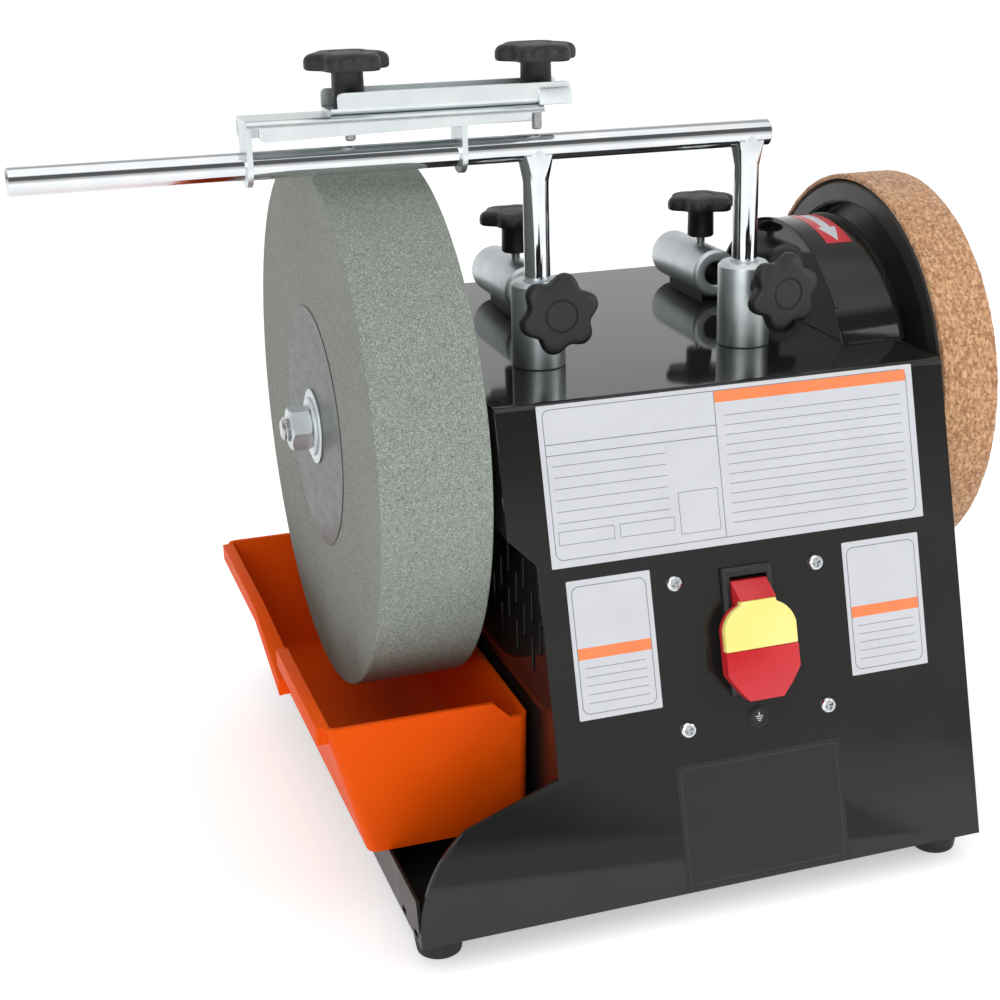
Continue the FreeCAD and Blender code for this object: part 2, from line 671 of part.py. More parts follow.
def spindle_set():
    foil_left = STONE_LEFT - FOIL_THICKNESS
    washer_left = foil_left - FLANGE_THICKNESS
    nut_left = washer_left - NUT_HEIGHT
    tip_left = nut_left - THREAD_BEYOND_NUT
    strop_washer_right = STROP_RIGHT + FLANGE_THICKNESS
    tip_right = strop_washer_right + NUT_HEIGHT + THREAD_BEYOND_NUT
    spindle = chamfered_pin(SPINDLE_RADIUS, (tip_left, 0, SPINDLE_HEIGHT), (tip_right, 0, 0), BAR_CHAMFER)
    save("spindle", spindle)
    save("grinding_stone", on_spindle(STONE_DIA / 2, STONE_LEFT, STONE_RIGHT))
    save("stone_foil_disc", on_spindle(FOIL_DIA / 2, foil_left, STONE_LEFT))
    save("stone_outer_flange", on_spindle(FLANGE_DIA / 2, washer_left, foil_left))
    save("stone_nut", hex_nut(nut_left))
    save("stone_inner_flange", on_spindle(FLANGE_DIA / 2, STONE_RIGHT, STONE_RIGHT + INNER_FLANGE_THICKNESS))
    collar_left = HOUSING_LEFT - BUSH_PROUD + LEFT_BUSH_LENGTH + AXIAL_CLEARANCE
    save("shaft_collar", on_spindle(COLLAR_DIA / 2, collar_left, collar_left + COLLAR_WIDTH))
    spacer_left = HOUSING_RIGHT + BUSH_FLANGE + AXIAL_CLEARANCE
    save("strop_spacer", on_spindle(FLANGE_DIA / 2, spacer_left, STROP_LEFT))
    save("strop_washer", on_spindle(FLANGE_DIA / 2, STROP_RIGHT, strop_washer_right))
    save("strop_nut", hex_nut(strop_washer_right))


def spoked_disc(radius, rim, web, hub_radius, left, width):
    """A wheel with a rim, a thinner web in the middle and a hub, bored for the spindle."""
    bore = SPINDLE_RADIUS + SEAT_CLEARANCE
    right = left + width
    low_web = left + (width - web) / 2
    high_web = low_web + web
    points = [
        (left, 0, bore), (left, 0, hub_radius), (low_web, 0, hub_radius), (low_web, 0, radius - rim),
        (left, 0, radius - rim), (left, 0, radius), (right, 0, radius), (right, 0, radius - rim),
        (high_web, 0, radius - rim), (high_web, 0, hub_radius), (right, 0, hub_radius), (right, 0, bore),
    ]
    wheel = revolve(points, axis=X_DIR)
    wheel.translate(V(0, 0, SPINDLE_HEIGHT))
    return wheel


def strop_wheel():
    core_radius = STROP_DIA / 2 - LEATHER_THICKNESS
    core = spoked_disc(core_radius, STROP_RIM, STROP_WEB, STROP_HUB_DIA / 2, STROP_LEFT, STROP_WIDTH)
    save("strop_core", core)
    save("strop_leather", ring_x(STROP_DIA / 2, core_radius + SEAT_CLEARANCE, STROP_LEFT, STROP_RIGHT))


# Drive


def drive():
    rim_radius = TYRE_DIA / 2 - TYRE_THICKNESS
    wheel = spoked_disc(rim_radius, DRIVE_RIM, DRIVE_WEB, DRIVE_HUB_DIA / 2, DRIVE_LEFT, DRIVE_WIDTH)
    save("drive_wheel", wheel)
    save("drive_tyre", ring_x(TYRE_DIA / 2, rim_radius + SEAT_CLEARANCE, DRIVE_LEFT, DRIVE_RIGHT))
    save("motor_rotor", cylinder(
        ROLLER_DIA / 2, (MOTOR_LEFT - 2 * MOTOR_END, MOTOR_Y, MOTOR_Z), (DRIVE_RIGHT, MOTOR_Y, MOTOR_Z)))
    save("motor_body", motor_body())
    save("motor_mount", motor_mount())
    top = FLOOR + CAPACITOR_HEIGHT
    stand = (CAPACITOR_X, CAPACITOR_Y)
    save("run_capacitor", cylinder(CAPACITOR_DIA / 2, (*stand, FLOOR), (*stand, top)))


def motor_body():
    radius = MOTOR_DIA / 2
    end_radius = MOTOR_END_DIA / 2
    bore = ROLLER_DIA / 2 + RUNNING_CLEARANCE
    points = [
        (MOTOR_LEFT - MOTOR_END, 0, bore), (MOTOR_LEFT - MOTOR_END, 0, end_radius), (MOTOR_LEFT, 0, radius),
        (MOTOR_RIGHT, 0, radius), (MOTOR_RIGHT + MOTOR_END, 0, end_radius),
        (MOTOR_RIGHT + MOTOR_END, 0, bore),
    ]
    body = revolve(points, axis=X_DIR)
    body.translate(V(0, MOTOR_Y, MOTOR_Z))
    return body


def motor_mount():
    """A foot plate with two upright saddles under the motor."""
    front = MOTOR_Y - MOUNT_DEPTH / 2
    back = MOTOR_Y + MOUNT_DEPTH / 2
    mount = box((MOTOR_LEFT, front, FLOOR), (MOTOR_RIGHT, back, FLOOR + MOUNT_PLATE))
    for left in (MOTOR_LEFT + MOUNT_INSET, MOTOR_RIGHT - MOUNT_INSET - MOUNT_PLATE):
        mount = mount.fuse(box((left, front, FLOOR), (left + MOUNT_PLATE, back, MOTOR_Z)))
    seat = MOTOR_DIA / 2 + SEAT_CLEARANCE
    mount = mount.cut(cylinder(seat, (-FAR, MOTOR_Y, MOTOR_Z), (FAR, MOTOR_Y, MOTOR_Z)))
    return mount.removeSplitter()


def bushes():
    bore = SPINDLE_RADIUS + RUNNING_CLEARANCE
    left = HOUSING_LEFT - BUSH_PROUD
    inner_face = HOUSING_LEFT + SHEET
    bush = ring_x(BUSH_DIA / 2, bore, left, left + LEFT_BUSH_LENGTH)
    flange = ring_x(BUSH_FLANGE_DIA / 2, bore, inner_face, inner_face + BUSH_FLANGE)
    save("bush_left", bush.fuse(flange).removeSplitter())
    bush = ring_x(BUSH_DIA / 2, bore, HOUSING_RIGHT - SHEET - RIGHT_BUSH_INSIDE, HOUSING_RIGHT + BUSH_FLANGE)
    flange = ring_x(BUSH_FLANGE_DIA / 2, bore, HOUSING_RIGHT, HOUSING_RIGHT + BUSH_FLANGE)
    save("bush_right", bush.fuse(flange).removeSplitter())


# Tool support


def support():
    bar_left = POST_X["left"] - BAR_LEFT_REACH
    bar_right = POST_X["right"] + BAR_RIGHT_REACH
    save("support_bar", chamfered_pin(BAR_RADIUS, (bar_left, POST_Y, BAR_Z), (bar_right, 0, 0), BAR_CHAMFER))
    bar_hole = cylinder(BAR_RADIUS, (-FAR, POST_Y, BAR_Z), (FAR, POST_Y, BAR_Z))
    for side, x in POST_X.items():
        bottom = HOUSING_TOP - POST_BELOW_TOP
        neck_bottom = BAR_Z - BAR_RADIUS - POST_NECK_HEIGHT
        post = cylinder(BAR_RADIUS, (x, POST_Y, bottom), (x, POST_Y, BAR_Z))
        neck_height = BAR_Z - neck_bottom - BAR_RADIUS / 2
        neck = Part.makeCone(BAR_RADIUS, POST_NECK_DIA / 2, neck_height, V(x, POST_Y, neck_bottom))
        neck = neck.common(box((-FAR, POST_Y - BAR_RADIUS, 0), (FAR, POST_Y + BAR_RADIUS, FAR)))
        post = post.fuse(neck).cut(bar_hole).removeSplitter()
        save("support_post_" + side, post)


def knob_direction(side):
    turn = math.radians(KNOB_TURN[side])
    return V(math.sin(turn), -math.cos(turn), 0)


def sockets():
    for side, x in POST_X.items():
        tube = tube_along(Z_DIR, SOCKET_DIA / 2, SOCKET_BORE_RADIUS, SOCKET_HEIGHT, SOCKET_CHAMFER)
        tube.translate(V(x, POST_Y, HOUSING_TOP))
        tube = tube.fuse(socket_foot(x)).removeSplitter()
        start = V(x, POST_Y, HOUSING_TOP + SOCKET_KNOB_HEIGHT)
        end = start + knob_direction(side) * SOCKET_DIA
        hole = cylinder(KNOB_STUD_DIA / 2 + STUD_CLEARANCE, tuple(start), tuple(end))
        save("socket_" + side, tube.cut(hole))


def socket_foot(x):
    """Squares off the lower end of a socket where it meets the top plate."""
    low = (x, POST_Y, HOUSING_TOP)
    high = (x, POST_Y, HOUSING_TOP + 2 * SOCKET_CHAMFER)
    return cylinder(SOCKET_DIA / 2, low, high).cut(cylinder(SOCKET_BORE_RADIUS, low, high))


def sleeves():
    pads = []
    for side, post_x in POST_X.items():
        x = post_x + SLEEVE_OFFSET_X
        tube = tube_along(Y_DIR, SOCKET_DIA / 2, SOCKET_BORE_RADIUS, SLEEVE_LENGTH, SLEEVE_CHAMFER)
        tube.translate(V(x, SLEEVE_FRONT, SLEEVE_Z))
        y = SLEEVE_FRONT + SLEEVE_KNOB_FROM_FRONT
        hole = cylinder(KNOB_STUD_DIA / 2 + STUD_CLEARANCE, (x, y, SLEEVE_Z), (x, y, SLEEVE_Z + SOCKET_DIA))
        save("sleeve_" + side, tube.cut(hole))
        low = (x - PAD_WIDTH / 2, SLEEVE_FRONT + PAD_END_INSET, HOUSING_TOP)
        high = (x + PAD_WIDTH / 2, SLEEVE_FRONT + SLEEVE_LENGTH - PAD_END_INSET, SLEEVE_Z)
        seat = cylinder(SOCKET_DIA / 2, (x, -FAR, SLEEVE_Z), (x, FAR, SLEEVE_Z))
        pads.append(box(low, high).cut(seat))
    save("sleeve_pads", compound(pads))


# Star knobs


def star_outline():
    tip = KNOB_DIA / 2
    lobe_centre = tip - KNOB_LOBE_RADIUS
    half_step = math.pi / KNOB_LOBES
    reach = KNOB_LOBE_RADIUS + KNOB_SCALLOP_RADIUS
    side = lobe_centre * math.sin(half_step)
    scallop_centre = lobe_centre * math.cos(half_step) + math.sqrt(reach ** 2 - side ** 2)
    edges = []
    for step in range(KNOB_LOBES):
        lobe = 2 * half_step * step
        before = scallop_at(lobe - half_step, scallop_centre)
        after = scallop_at(lobe + half_step, scallop_centre)
        centre = V(lobe_centre * math.cos(lobe), lobe_centre * math.sin(lobe), 0)
        share = KNOB_LOBE_RADIUS / reach
        start = centre + (before - centre) * share
        end = centre + (after - centre) * share
        outer = V(tip * math.cos(lobe), tip * math.sin(lobe), 0)
        edges.append(Part.Arc(start, outer, end).toShape())
        next_lobe = lobe + 2 * half_step
        next_centre = V(lobe_centre * math.cos(next_lobe), lobe_centre * math.sin(next_lobe), 0)
        next_start = next_centre + (after - next_centre) * share
        hollow = scallop_at(lobe + half_step, scallop_centre - KNOB_SCALLOP_RADIUS)
        edges.append(Part.Arc(end, hollow, next_start).toShape())
    return Part.Face(Part.Wire(edges))


def scallop_at(angle, radius):
    return V(radius * math.cos(angle), radius * math.sin(angle), 0)


def star_knob(hub):
    """A knob standing on the origin along +Z, with its stud left to another piece."""
    tip = KNOB_DIA / 2
    top = hub + KNOB_HEAD
    star = star_outline().extrude(V(0, 0, KNOB_HEAD))
    star.translate(V(0, 0, hub))
    corner = KNOB_EDGE * (1 - math.sqrt(0.5))
    lens = [
        line((0, 0, hub), (tip, 0, hub)),
        line((tip, 0, hub), (tip, 0, top - KNOB_EDGE)),
        arc((tip, 0, top - KNOB_EDGE), (tip - corner, 0, top - corner), (tip - KNOB_EDGE, 0, top)),
        line((tip - KNOB_EDGE, 0, top), (0, 0, top)),
        line((0, 0, top), (0, 0, hub)),
    ]
    rounded = Part.Face(Part.Wire(lens)).revolve(V(0, 0, 0), Z_DIR, 360)
    head = star.common(rounded)
    groove_radius = KNOB_CAP_DIA / 2
    groove = cylinder(groove_radius, (0, 0, top - KNOB_CAP_GROOVE), (0, 0, top + 1))
    groove = groove.cut(cylinder(groove_radius - KNOB_CAP_GROOVE, (0, 0, 0), (0, 0, top + 2)))
    body = head.cut(groove).fuse(cylinder(KNOB_HUB_DIA / 2, (0, 0, 0), (0, 0, hub + 1)))
    socket = cylinder(KNOB_STUD_DIA / 2 + SEAT_CLEARANCE, (0, 0, -1), (0, 0, KNOB_STUD_GRIP))
    return body.cut(socket).removeSplitter()


def place_knob(name, hub, seat, direction, stud_below):
    """A knob whose hub starts at seat and points along direction, with a stud reaching back below it."""
    turn = FreeCAD.Placement(seat, FreeCAD.Rotation(Z_DIR, direction))
    knob = star_knob(hub)
    knob.Placement = turn
    save(name + "_knob", knob)
    stud = cylinder(KNOB_STUD_DIA / 2, (0, 0, -stud_below), (0, 0, KNOB_STUD_GRIP))
    stud.Placement = turn
    save(name + "_stud", stud)


def clamp_knobs():
    from_axis = SOCKET_DIA / 2 + KNOB_STUD_SHOWING
    for side, x in POST_X.items():
        direction = knob_direction(side)
        seat = V(x, POST_Y, HOUSING_TOP + SOCKET_KNOB_HEIGHT) + direction * from_axis
        place_knob("socket_" + side, KNOB_HUB, seat, direction, from_axis - BAR_RADIUS - STUD_TO_POST)
        y = SLEEVE_FRONT + SLEEVE_KNOB_FROM_FRONT
        seat = V(x + SLEEVE_OFFSET_X, y, SLEEVE_Z + from_axis)
        stud_below = from_axis - SOCKET_BORE_RADIUS - STUD_TO_POST
        place_knob("sleeve_" + side, KNOB_HUB, seat, Z_DIR, stud_below)


# Square-edge jig


def channel(left, length, width, low, high, sheet, bend, opens_up):
    """A bent channel along X under the given heights, open upwards or downwards."""
    half = width / 2
    outer = rounded_u(half, 0, high - low, bend)
    inner = rounded_u(half - sheet, sheet, high - low + 1, bend - sheet)
    section = outer.cut(inner)
    body = section.extrude(V(length, 0, 0))
    if not opens_up:
        body = body.mirror(V(0, 0, (high - low) / 2), Z_DIR)
    body.translate(V(left, POST_Y, low))
    return body


def rounded_u(half, bottom, top, radius):
    """A U-shaped outline seen along X, with rounded lower corners."""
    corner = radius * (1 - math.sqrt(0.5))
    edges = [
        line((0, -half, top), (0, -half, bottom + radius)),
        arc((0, -half, bottom + radius), (0, -half + corner, bottom + corner), (0, -half + radius, bottom)),
        line((0, -half + radius, bottom), (0, half - radius, bottom)),
        arc((0, half - radius, bottom), (0, half - corner, bottom + corner), (0, half, bottom + radius)),
        line((0, half, bottom + radius), (0, half, top)),
        line((0, half, top), (0, -half, top)),
    ]
    return Part.Face(Part.Wire(edges))


def jig_ear(left):
    """A plate with a rounded lower end and a hole that runs on the bar."""
    radius = EAR_WIDTH / 2
    plate = box((left, POST_Y - radius, BAR_Z), (left + EAR_THICKNESS, POST_Y + radius, JIG_TOP - JIG_SHEET))
    plate = plate.fuse(cylinder(radius, (left, POST_Y, BAR_Z), (left + EAR_THICKNESS, POST_Y, BAR_Z)))
    return plate.cut(cylinder(SOCKET_BORE_RADIUS, (-FAR, POST_Y, BAR_Z), (FAR, POST_Y, BAR_Z)))


def front_flange_waste(left, right, low, high):
    """What is cut from the end of a channel's front flange."""
    return box((left, -FAR, low), (right, POST_Y, high))


def jig():
    base = channel(
        JIG_LEFT, JIG_LENGTH, JIG_WIDTH, JIG_TOP - JIG_FLANGE, JIG_TOP, JIG_SHEET, JIG_BEND, False)
    jig_right = JIG_LEFT + JIG_LENGTH
    base = base.cut(front_flange_waste(JIG_LEFT, JIG_LEFT + JIG_FLANGE_LEFT_INSET, 0, JIG_TOP - JIG_BEND))
    base = base.cut(front_flange_waste(jig_right - JIG_FLANGE_RIGHT_INSET, jig_right, 0, JIG_TOP - JIG_BEND))
    for left in (JIG_LEFT, JIG_LEFT + SECOND_EAR_OFFSET):
        base = base.fuse(jig_ear(left))
    clamp_left = JIG_LEFT + CLAMP_LEFT_OFFSET
    clamp = channel(
        clamp_left, CLAMP_LENGTH, CLAMP_WIDTH, JIG_TOP, JIG_TOP + CLAMP_HEIGHT, CLAMP_SHEET, CLAMP_BEND, True)
    clamp_right = clamp_left + CLAMP_LENGTH
    flange_low = JIG_TOP + CLAMP_BEND
    flange_left = clamp_left + CLAMP_FLANGE_LEFT_INSET
    flange_right = clamp_right - CLAMP_FLANGE_RIGHT_INSET
    clamp = clamp.cut(front_flange_waste(clamp_left, flange_left, flange_low, FAR))
    clamp = clamp.cut(front_flange_waste(flange_right, clamp_right, flange_low, FAR))
    for side, x in JIG_STUD_X.items():
        hole_radius = KNOB_STUD_DIA / 2 + JIG_HOLE_CLEARANCE
        hole = cylinder(hole_radius, (x, POST_Y, BAR_Z + BAR_RADIUS), (x, POST_Y, FAR))
        base = base.cut(hole)
        clamp = clamp.cut(hole)
        seat = V(x, POST_Y, JIG_TOP + CLAMP_SHEET)
        place_knob("jig_" + side, JIG_KNOB_HUB, seat, Z_DIR, CLAMP_SHEET + JIG_STUD_BELOW)
    save("jig_base", base.removeSplitter())
    save("jig_clamp_channel", clamp)


# Water trough


def rounded_rectangle(left, right, front, back, z, radius):
    corner = radius * (1 - math.sqrt(0.5))
    edges = [
        line((left + radius, front, z), (right - radius, front, z)),
        arc((right - radius, front, z), (right - corner, front + corner, z), (right, front + radius, z)),
        line((right, front + radius, z), (right, back - radius, z)),
        arc((right, back - radius, z), (right - corner, back - corner, z), (right - radius, back, z)),
        line((right - radius, back, z), (left + radius, back, z)),
        arc((left + radius, back, z), (left + corner, back - corner, z), (left, back - radius, z)),
        line((left, back - radius, z), (left, front + radius, z)),
        arc((left, front + radius, z), (left + corner, front + corner, z), (left + radius, front, z)),
    ]
    return Part.Wire(edges)


def trough_solid(shrink, low, high, radius):
    """The drafted outer form of the trough, shrunk by a wall and cut off at two heights."""
    bottom = TRAY_LIP_TOP
    height = TROUGH_RIM - bottom
    wires = []
    for z in (low, high):
        share = (TROUGH_RIM - z) / height
        left = STONE_LEFT - TROUGH_LEFT_OF_STONE + share * TROUGH_LEFT_DRAFT + shrink
        right = WAIST_LEFT - TROUGH_TO_WALL - shrink
        front = TROUGH_FRONT + share * TROUGH_END_DRAFT + shrink
        back = TROUGH_BACK - share * TROUGH_END_DRAFT - shrink
        wires.append(rounded_rectangle(left, right, front, back, z, radius))
    return Part.makeLoft(wires, True, True)


def water_trough():
    bottom = TRAY_LIP_TOP
    outer = trough_solid(0, bottom, TROUGH_RIM, TROUGH_CORNER)
    left = STONE_LEFT - TROUGH_LEFT_OF_STONE
    right = WAIST_LEFT - TROUGH_TO_WALL
    top = TROUGH_RIM + TROUGH_WALL
    inner = trough_solid(TROUGH_WALL, bottom + TROUGH_WALL, top, TROUGH_CORNER - TROUGH_WALL)
    trough = outer.cut(inner).cut(rim_slope(right)).cut(pour_notch(left))
    corner = TROUGH_CORNER
    low = TROUGH_RIM - NOTCH_DEPTH
    stretches = [
        ((TROUGH_BACK - corner, TROUGH_RIM), (NOTCH_BACK, TROUGH_RIM)),
        ((NOTCH_BACK, TROUGH_RIM), (NOTCH_FRONT, low)),
        ((NOTCH_FRONT, TROUGH_RIM), (TROUGH_FRONT + corner, TROUGH_RIM)),
    ]
    for start, end in stretches:
        trough = trough.fuse(skirted_lip(start, end).cut(inner))
    return trough.removeSplitter()


def wall_left_at(z):
    """Where the outer face of the trough's left wall stands at a height."""
    share = (TROUGH_RIM - z) / (TROUGH_RIM - TRAY_LIP_TOP)
    return STONE_LEFT - TROUGH_LEFT_OF_STONE + share * TROUGH_LEFT_DRAFT


def skirted_lip(start, end):
    """A lip on the left wall with a downturned skirt, from one place on the rim to another."""
    y, top = start
    outer = STONE_LEFT - TROUGH_LEFT_OF_STONE - TROUGH_LIP
    inner = wall_left_at(end[1]) + TROUGH_WALL / 2
    thickness = TROUGH_LIP_THICKNESS
    points = [
        (outer, y, top - TROUGH_SKIRT), (outer, y, top), (inner, y, top), (inner, y, top - thickness),
        (outer + thickness, y, top - thickness), (outer + thickness, y, top - TROUGH_SKIRT),
    ]
    return face(points).extrude(V(0, end[0] - y, end[1] - top))


def rim_slope(right):
    """Lowers the rim towards the housing, under the waist of the wall."""
    start = right - TROUGH_RIM_SLOPE_START
    end = right - TROUGH_RIM_SLOPE_END
    points = [
        (start, -FAR, TROUGH_RIM), (end, -FAR, TROUGH_RIGHT_RIM), (FAR, -FAR, TROUGH_RIGHT_RIM),
        (FAR, -FAR, FAR), (start, -FAR, FAR),
    ]
    return face(points).extrude(V(0, 2 * FAR, 0))


def pour_notch(left):
    """A sloping spout in the left wall that ends in an upright step."""
    points = [
        (-FAR, NOTCH_BACK, TROUGH_RIM), (-FAR, NOTCH_FRONT, TROUGH_RIM - NOTCH_DEPTH),
        (-FAR, NOTCH_FRONT, FAR), (-FAR, NOTCH_BACK, FAR),
    ]
    return face(points).extrude(V(FAR + left + TROUGH_LEFT_DRAFT, 0, 0))


# Switch and panel fittings, made in the front panel's own frame


def switch_body():
    half = SWITCH_WIDTH / 2
    bottom = -SWITCH_TOP - SWITCH_HEIGHT
    low = box((SWITCH_X - half, bottom, 0), (SWITCH_X + half, -SWITCH_TOP, BEZEL_PROUD - BEZEL_BEVEL))
    wires = []
    for z, inset in ((BEZEL_PROUD - BEZEL_BEVEL, 0), (BEZEL_PROUD, BEZEL_BEVEL)):
        left = SWITCH_X - half + inset
        right = SWITCH_X + half - inset
        low_edge = bottom + inset
        high_edge = -SWITCH_TOP - inset
        corners = [V(left, low_edge, z), V(right, low_edge, z), V(right, high_edge, z), V(left, high_edge, z)]
        wires.append(Part.makePolygon(corners + corners[:1]))
    bezel = low.fuse(Part.makeLoft(wires, True, True))
    body = bezel.fuse(switch_box_cut(0))
    half_pocket = PADDLE_NECK_WIDTH / 2 + POCKET_SIDE_CLEARANCE
    pocket_top = -SWITCH_TOP - POCKET_FROM_TOP
    pocket_low = (SWITCH_X - half_pocket, pocket_top - POCKET_HEIGHT, -POCKET_DEPTH)
    body = body.cut(box(pocket_low, (SWITCH_X + half_pocket, pocket_top, FAR)))
    return on_front(body.cut(pivot(half_pocket + PIVOT_STUB, RUNNING_CLEARANCE)).removeSplitter())


def pivot(half_length, clearance):
    ends = ((SWITCH_X - half_length, -PIVOT_FROM_TOP, 0), (SWITCH_X + half_length, -PIVOT_FROM_TOP, 0))
    return cylinder(PIVOT_DIA / 2 + clearance, *ends)


def paddle_plate(low, high):
    """The bottle-shaped plate of the paddle, between two heights above the panel."""
    neck = PADDLE_NECK_WIDTH / 2
    full = PADDLE_WIDTH / 2
    tab = PADDLE_TAB_WIDTH / 2
    neck_end = KEY_TOP + PADDLE_NECK_LENGTH
    shoulder_middle = ((neck + full) / 2 + SHOULDER_BULGE, -(KEY_TOP + SHOULDER) / 2, low)
    right = [
        line((neck, -KEY_TOP, low), (neck, -neck_end, low)),
        arc((neck, -neck_end, low), shoulder_middle, (full, -SHOULDER, low)),
        line((full, -SHOULDER, low), (full, -PADDLE_FULL_END, low)),
        line((full, -PADDLE_FULL_END, low), ((full + tab) / 2, -PADDLE_OGEE, low)),
        line(((full + tab) / 2, -PADDLE_OGEE, low), (tab, -PADDLE_TIP, low)),
    ]
    left = [edge.mirror(V(0, 0, 0), X_DIR) for edge in right]
    top = line((-neck, -KEY_TOP, low), (neck, -KEY_TOP, low))
    tip = line((-tab, -PADDLE_TIP, low), (tab, -PADDLE_TIP, low))
    wire = Part.Wire(Part.__sortEdges__(right + left + [top, tip]))
    plate = Part.Face(wire).extrude(V(0, 0, high - low))
    plate.translate(V(SWITCH_X, 0, 0))
    return plate


def paddle_root():
    """The wedge at the paddle's top, which turns in the bezel's pocket."""
    points = [
        (0, -PADDLE_ROOT_TOP, -ROOT_DEPTH), (0, -PADDLE_ROOT_TOP, BEZEL_PROUD), (0, -KEY_TOP, PADDLE_PROUD),
        (0, -KEY_TOP, PADDLE_BASE), (0, -ROOT_LOWER, PADDLE_BASE), (0, -ROOT_LOWER, -ROOT_DEPTH),
    ]
    root = face(points).extrude(V(PADDLE_NECK_WIDTH, 0, 0))
    root.translate(V(SWITCH_X - PADDLE_NECK_WIDTH / 2, 0, 0))
    return root


def key_tongue(clearance, low, high):
    half = KEY_TONGUE_WIDTH / 2 + clearance
    middle = -KEY_TONGUE_CENTRE
    rise = KEY_TONGUE_HEIGHT / 2 + clearance
    return box((SWITCH_X - half, middle - rise, low), (SWITCH_X + half, middle + rise, high))


def switch_paddle():
    below = box((-FAR, -FAR, -FAR), (FAR, -KEY_BOTTOM, FAR))
    backing = paddle_plate(PADDLE_BASE, KEY_SEAT)
    lower = paddle_plate(KEY_SEAT, PADDLE_PROUD).common(below)
    paddle = backing.fuse(lower).fuse(paddle_root())
    half_pocket = PADDLE_NECK_WIDTH / 2 + POCKET_SIDE_CLEARANCE
    paddle = paddle.fuse(pivot(half_pocket + PIVOT_STUB - POCKET_SIDE_CLEARANCE, 0))
    slot = key_tongue(KEY_CLEARANCE, PADDLE_BASE - 1, KEY_SEAT + 1)
    return on_front(paddle.cut(slot).removeSplitter())


def switch_key():
    seat = KEY_SEAT + KEY_CLEARANCE / 2
    above = box((-FAR, -KEY_BOTTOM + KEY_CLEARANCE, -FAR), (FAR, -KEY_TOP - KEY_CLEARANCE, FAR))
    cap = paddle_plate(seat, PADDLE_PROUD).common(above)
    return on_front(cap.fuse(key_tongue(0, PADDLE_BASE, seat + 1)).removeSplitter())


def panel_screws():
    screws = []
    radius = PANEL_SCREW_HEAD_DIA / 2
    rise = (radius ** 2 - PANEL_SCREW_HEAD ** 2) / (2 * PANEL_SCREW_HEAD)
    for x, up in panel_screw_places():
        dome = Part.makeSphere(rise + PANEL_SCREW_HEAD, V(x, up, -rise))
        head = dome.common(box((-FAR, -FAR, 0), (FAR, FAR, FAR)))
        shank = cylinder(PANEL_SCREW_DIA / 2, (x, up, -PANEL_SCREW_LENGTH), (x, up, PANEL_SCREW_HEAD / 2))
        screws.append(head.fuse(shank).removeSplitter())
    return on_front(compound(screws))


def earth_plug():
    place = (SWITCH_X, -EARTH_PLUG_FROM_TOP)
    head = cylinder(EARTH_PLUG_DIA / 2, (*place, 0), (*place, EARTH_PLUG_PROUD))
    shank = cylinder(EARTH_SHANK_DIA / 2, (*place, -EARTH_SHANK), (*place, EARTH_PLUG_PROUD / 2))
    return on_front(head.fuse(shank).removeSplitter())


def main():
    os.makedirs("parts", exist_ok=True)
    sheet = bent_sheet()
    save("front_panel", front_panel(sheet))
    save("back_panel", back_panel(sheet))
    save("top_plate", top_plate(sheet))
    save("base_tray", base_tray())
    save("left_wall", left_wall())
    save("right_wall", right_wall())
    save("drum_cover", drum_cover())
    save("trough_ledge", trough_ledge())
    save("cord_gland", cord_gland())
    save("rubber_feet", rubber_feet())
    save("foot_screws", foot_screws())
    spindle_set()
    strop_wheel()
    drive()
    bushes()
    support()
    sockets()
    sleeves()
    clamp_knobs()
    jig()
    save("water_trough", water_trough())
    save("switch_body", switch_body())
    save("switch_paddle", switch_paddle())
    save("switch_key", switch_key())
    save("panel_screws", panel_screws())
    save("earth_plug", earth_plug())


main()
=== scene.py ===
import json
import math
import random

import bmesh
import bpy
from mathutils import Matrix, Vector


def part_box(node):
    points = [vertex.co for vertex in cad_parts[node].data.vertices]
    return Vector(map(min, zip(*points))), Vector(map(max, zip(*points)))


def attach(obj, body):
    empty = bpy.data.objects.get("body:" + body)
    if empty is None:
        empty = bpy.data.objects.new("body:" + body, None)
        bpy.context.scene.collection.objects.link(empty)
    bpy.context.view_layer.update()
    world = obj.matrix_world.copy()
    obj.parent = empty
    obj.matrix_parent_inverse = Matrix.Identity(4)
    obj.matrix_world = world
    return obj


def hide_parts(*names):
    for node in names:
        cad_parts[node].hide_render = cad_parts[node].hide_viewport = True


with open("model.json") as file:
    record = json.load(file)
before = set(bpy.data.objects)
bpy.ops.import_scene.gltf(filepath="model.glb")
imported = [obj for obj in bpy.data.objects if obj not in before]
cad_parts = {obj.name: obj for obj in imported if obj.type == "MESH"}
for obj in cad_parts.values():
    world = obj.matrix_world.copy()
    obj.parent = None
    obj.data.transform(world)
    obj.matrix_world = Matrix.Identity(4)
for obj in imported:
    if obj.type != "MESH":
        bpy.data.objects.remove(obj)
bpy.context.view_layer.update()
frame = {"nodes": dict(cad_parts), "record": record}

# Looks of the wet grinding sharpener, in metres, in the frame of its solids.
# +X runs along the spindle towards the strop wheel, +Y to the back, +Z up.

MM = 0.001
SMOOTH_ANGLE = math.radians(20)
FLAT_ANGLE = math.radians(0.5)
MERGE = 0.002 * MM
ROUND_STEPS = 96
WHEEL_STEPS = 192
random.seed(7)

# The camera, solved from the photograph
LENS = 64.68
SENSOR = 36.0
SHIFT = (-0.0696, 0.0169)
CAMERA_PLACE = Vector((-0.2977, -0.8170, 0.4544))
CAMERA_YAW = math.radians(19.6009)
CAMERA_PITCH = math.radians(20.1636)
CAMERA_ROLL = math.radians(-0.7611)

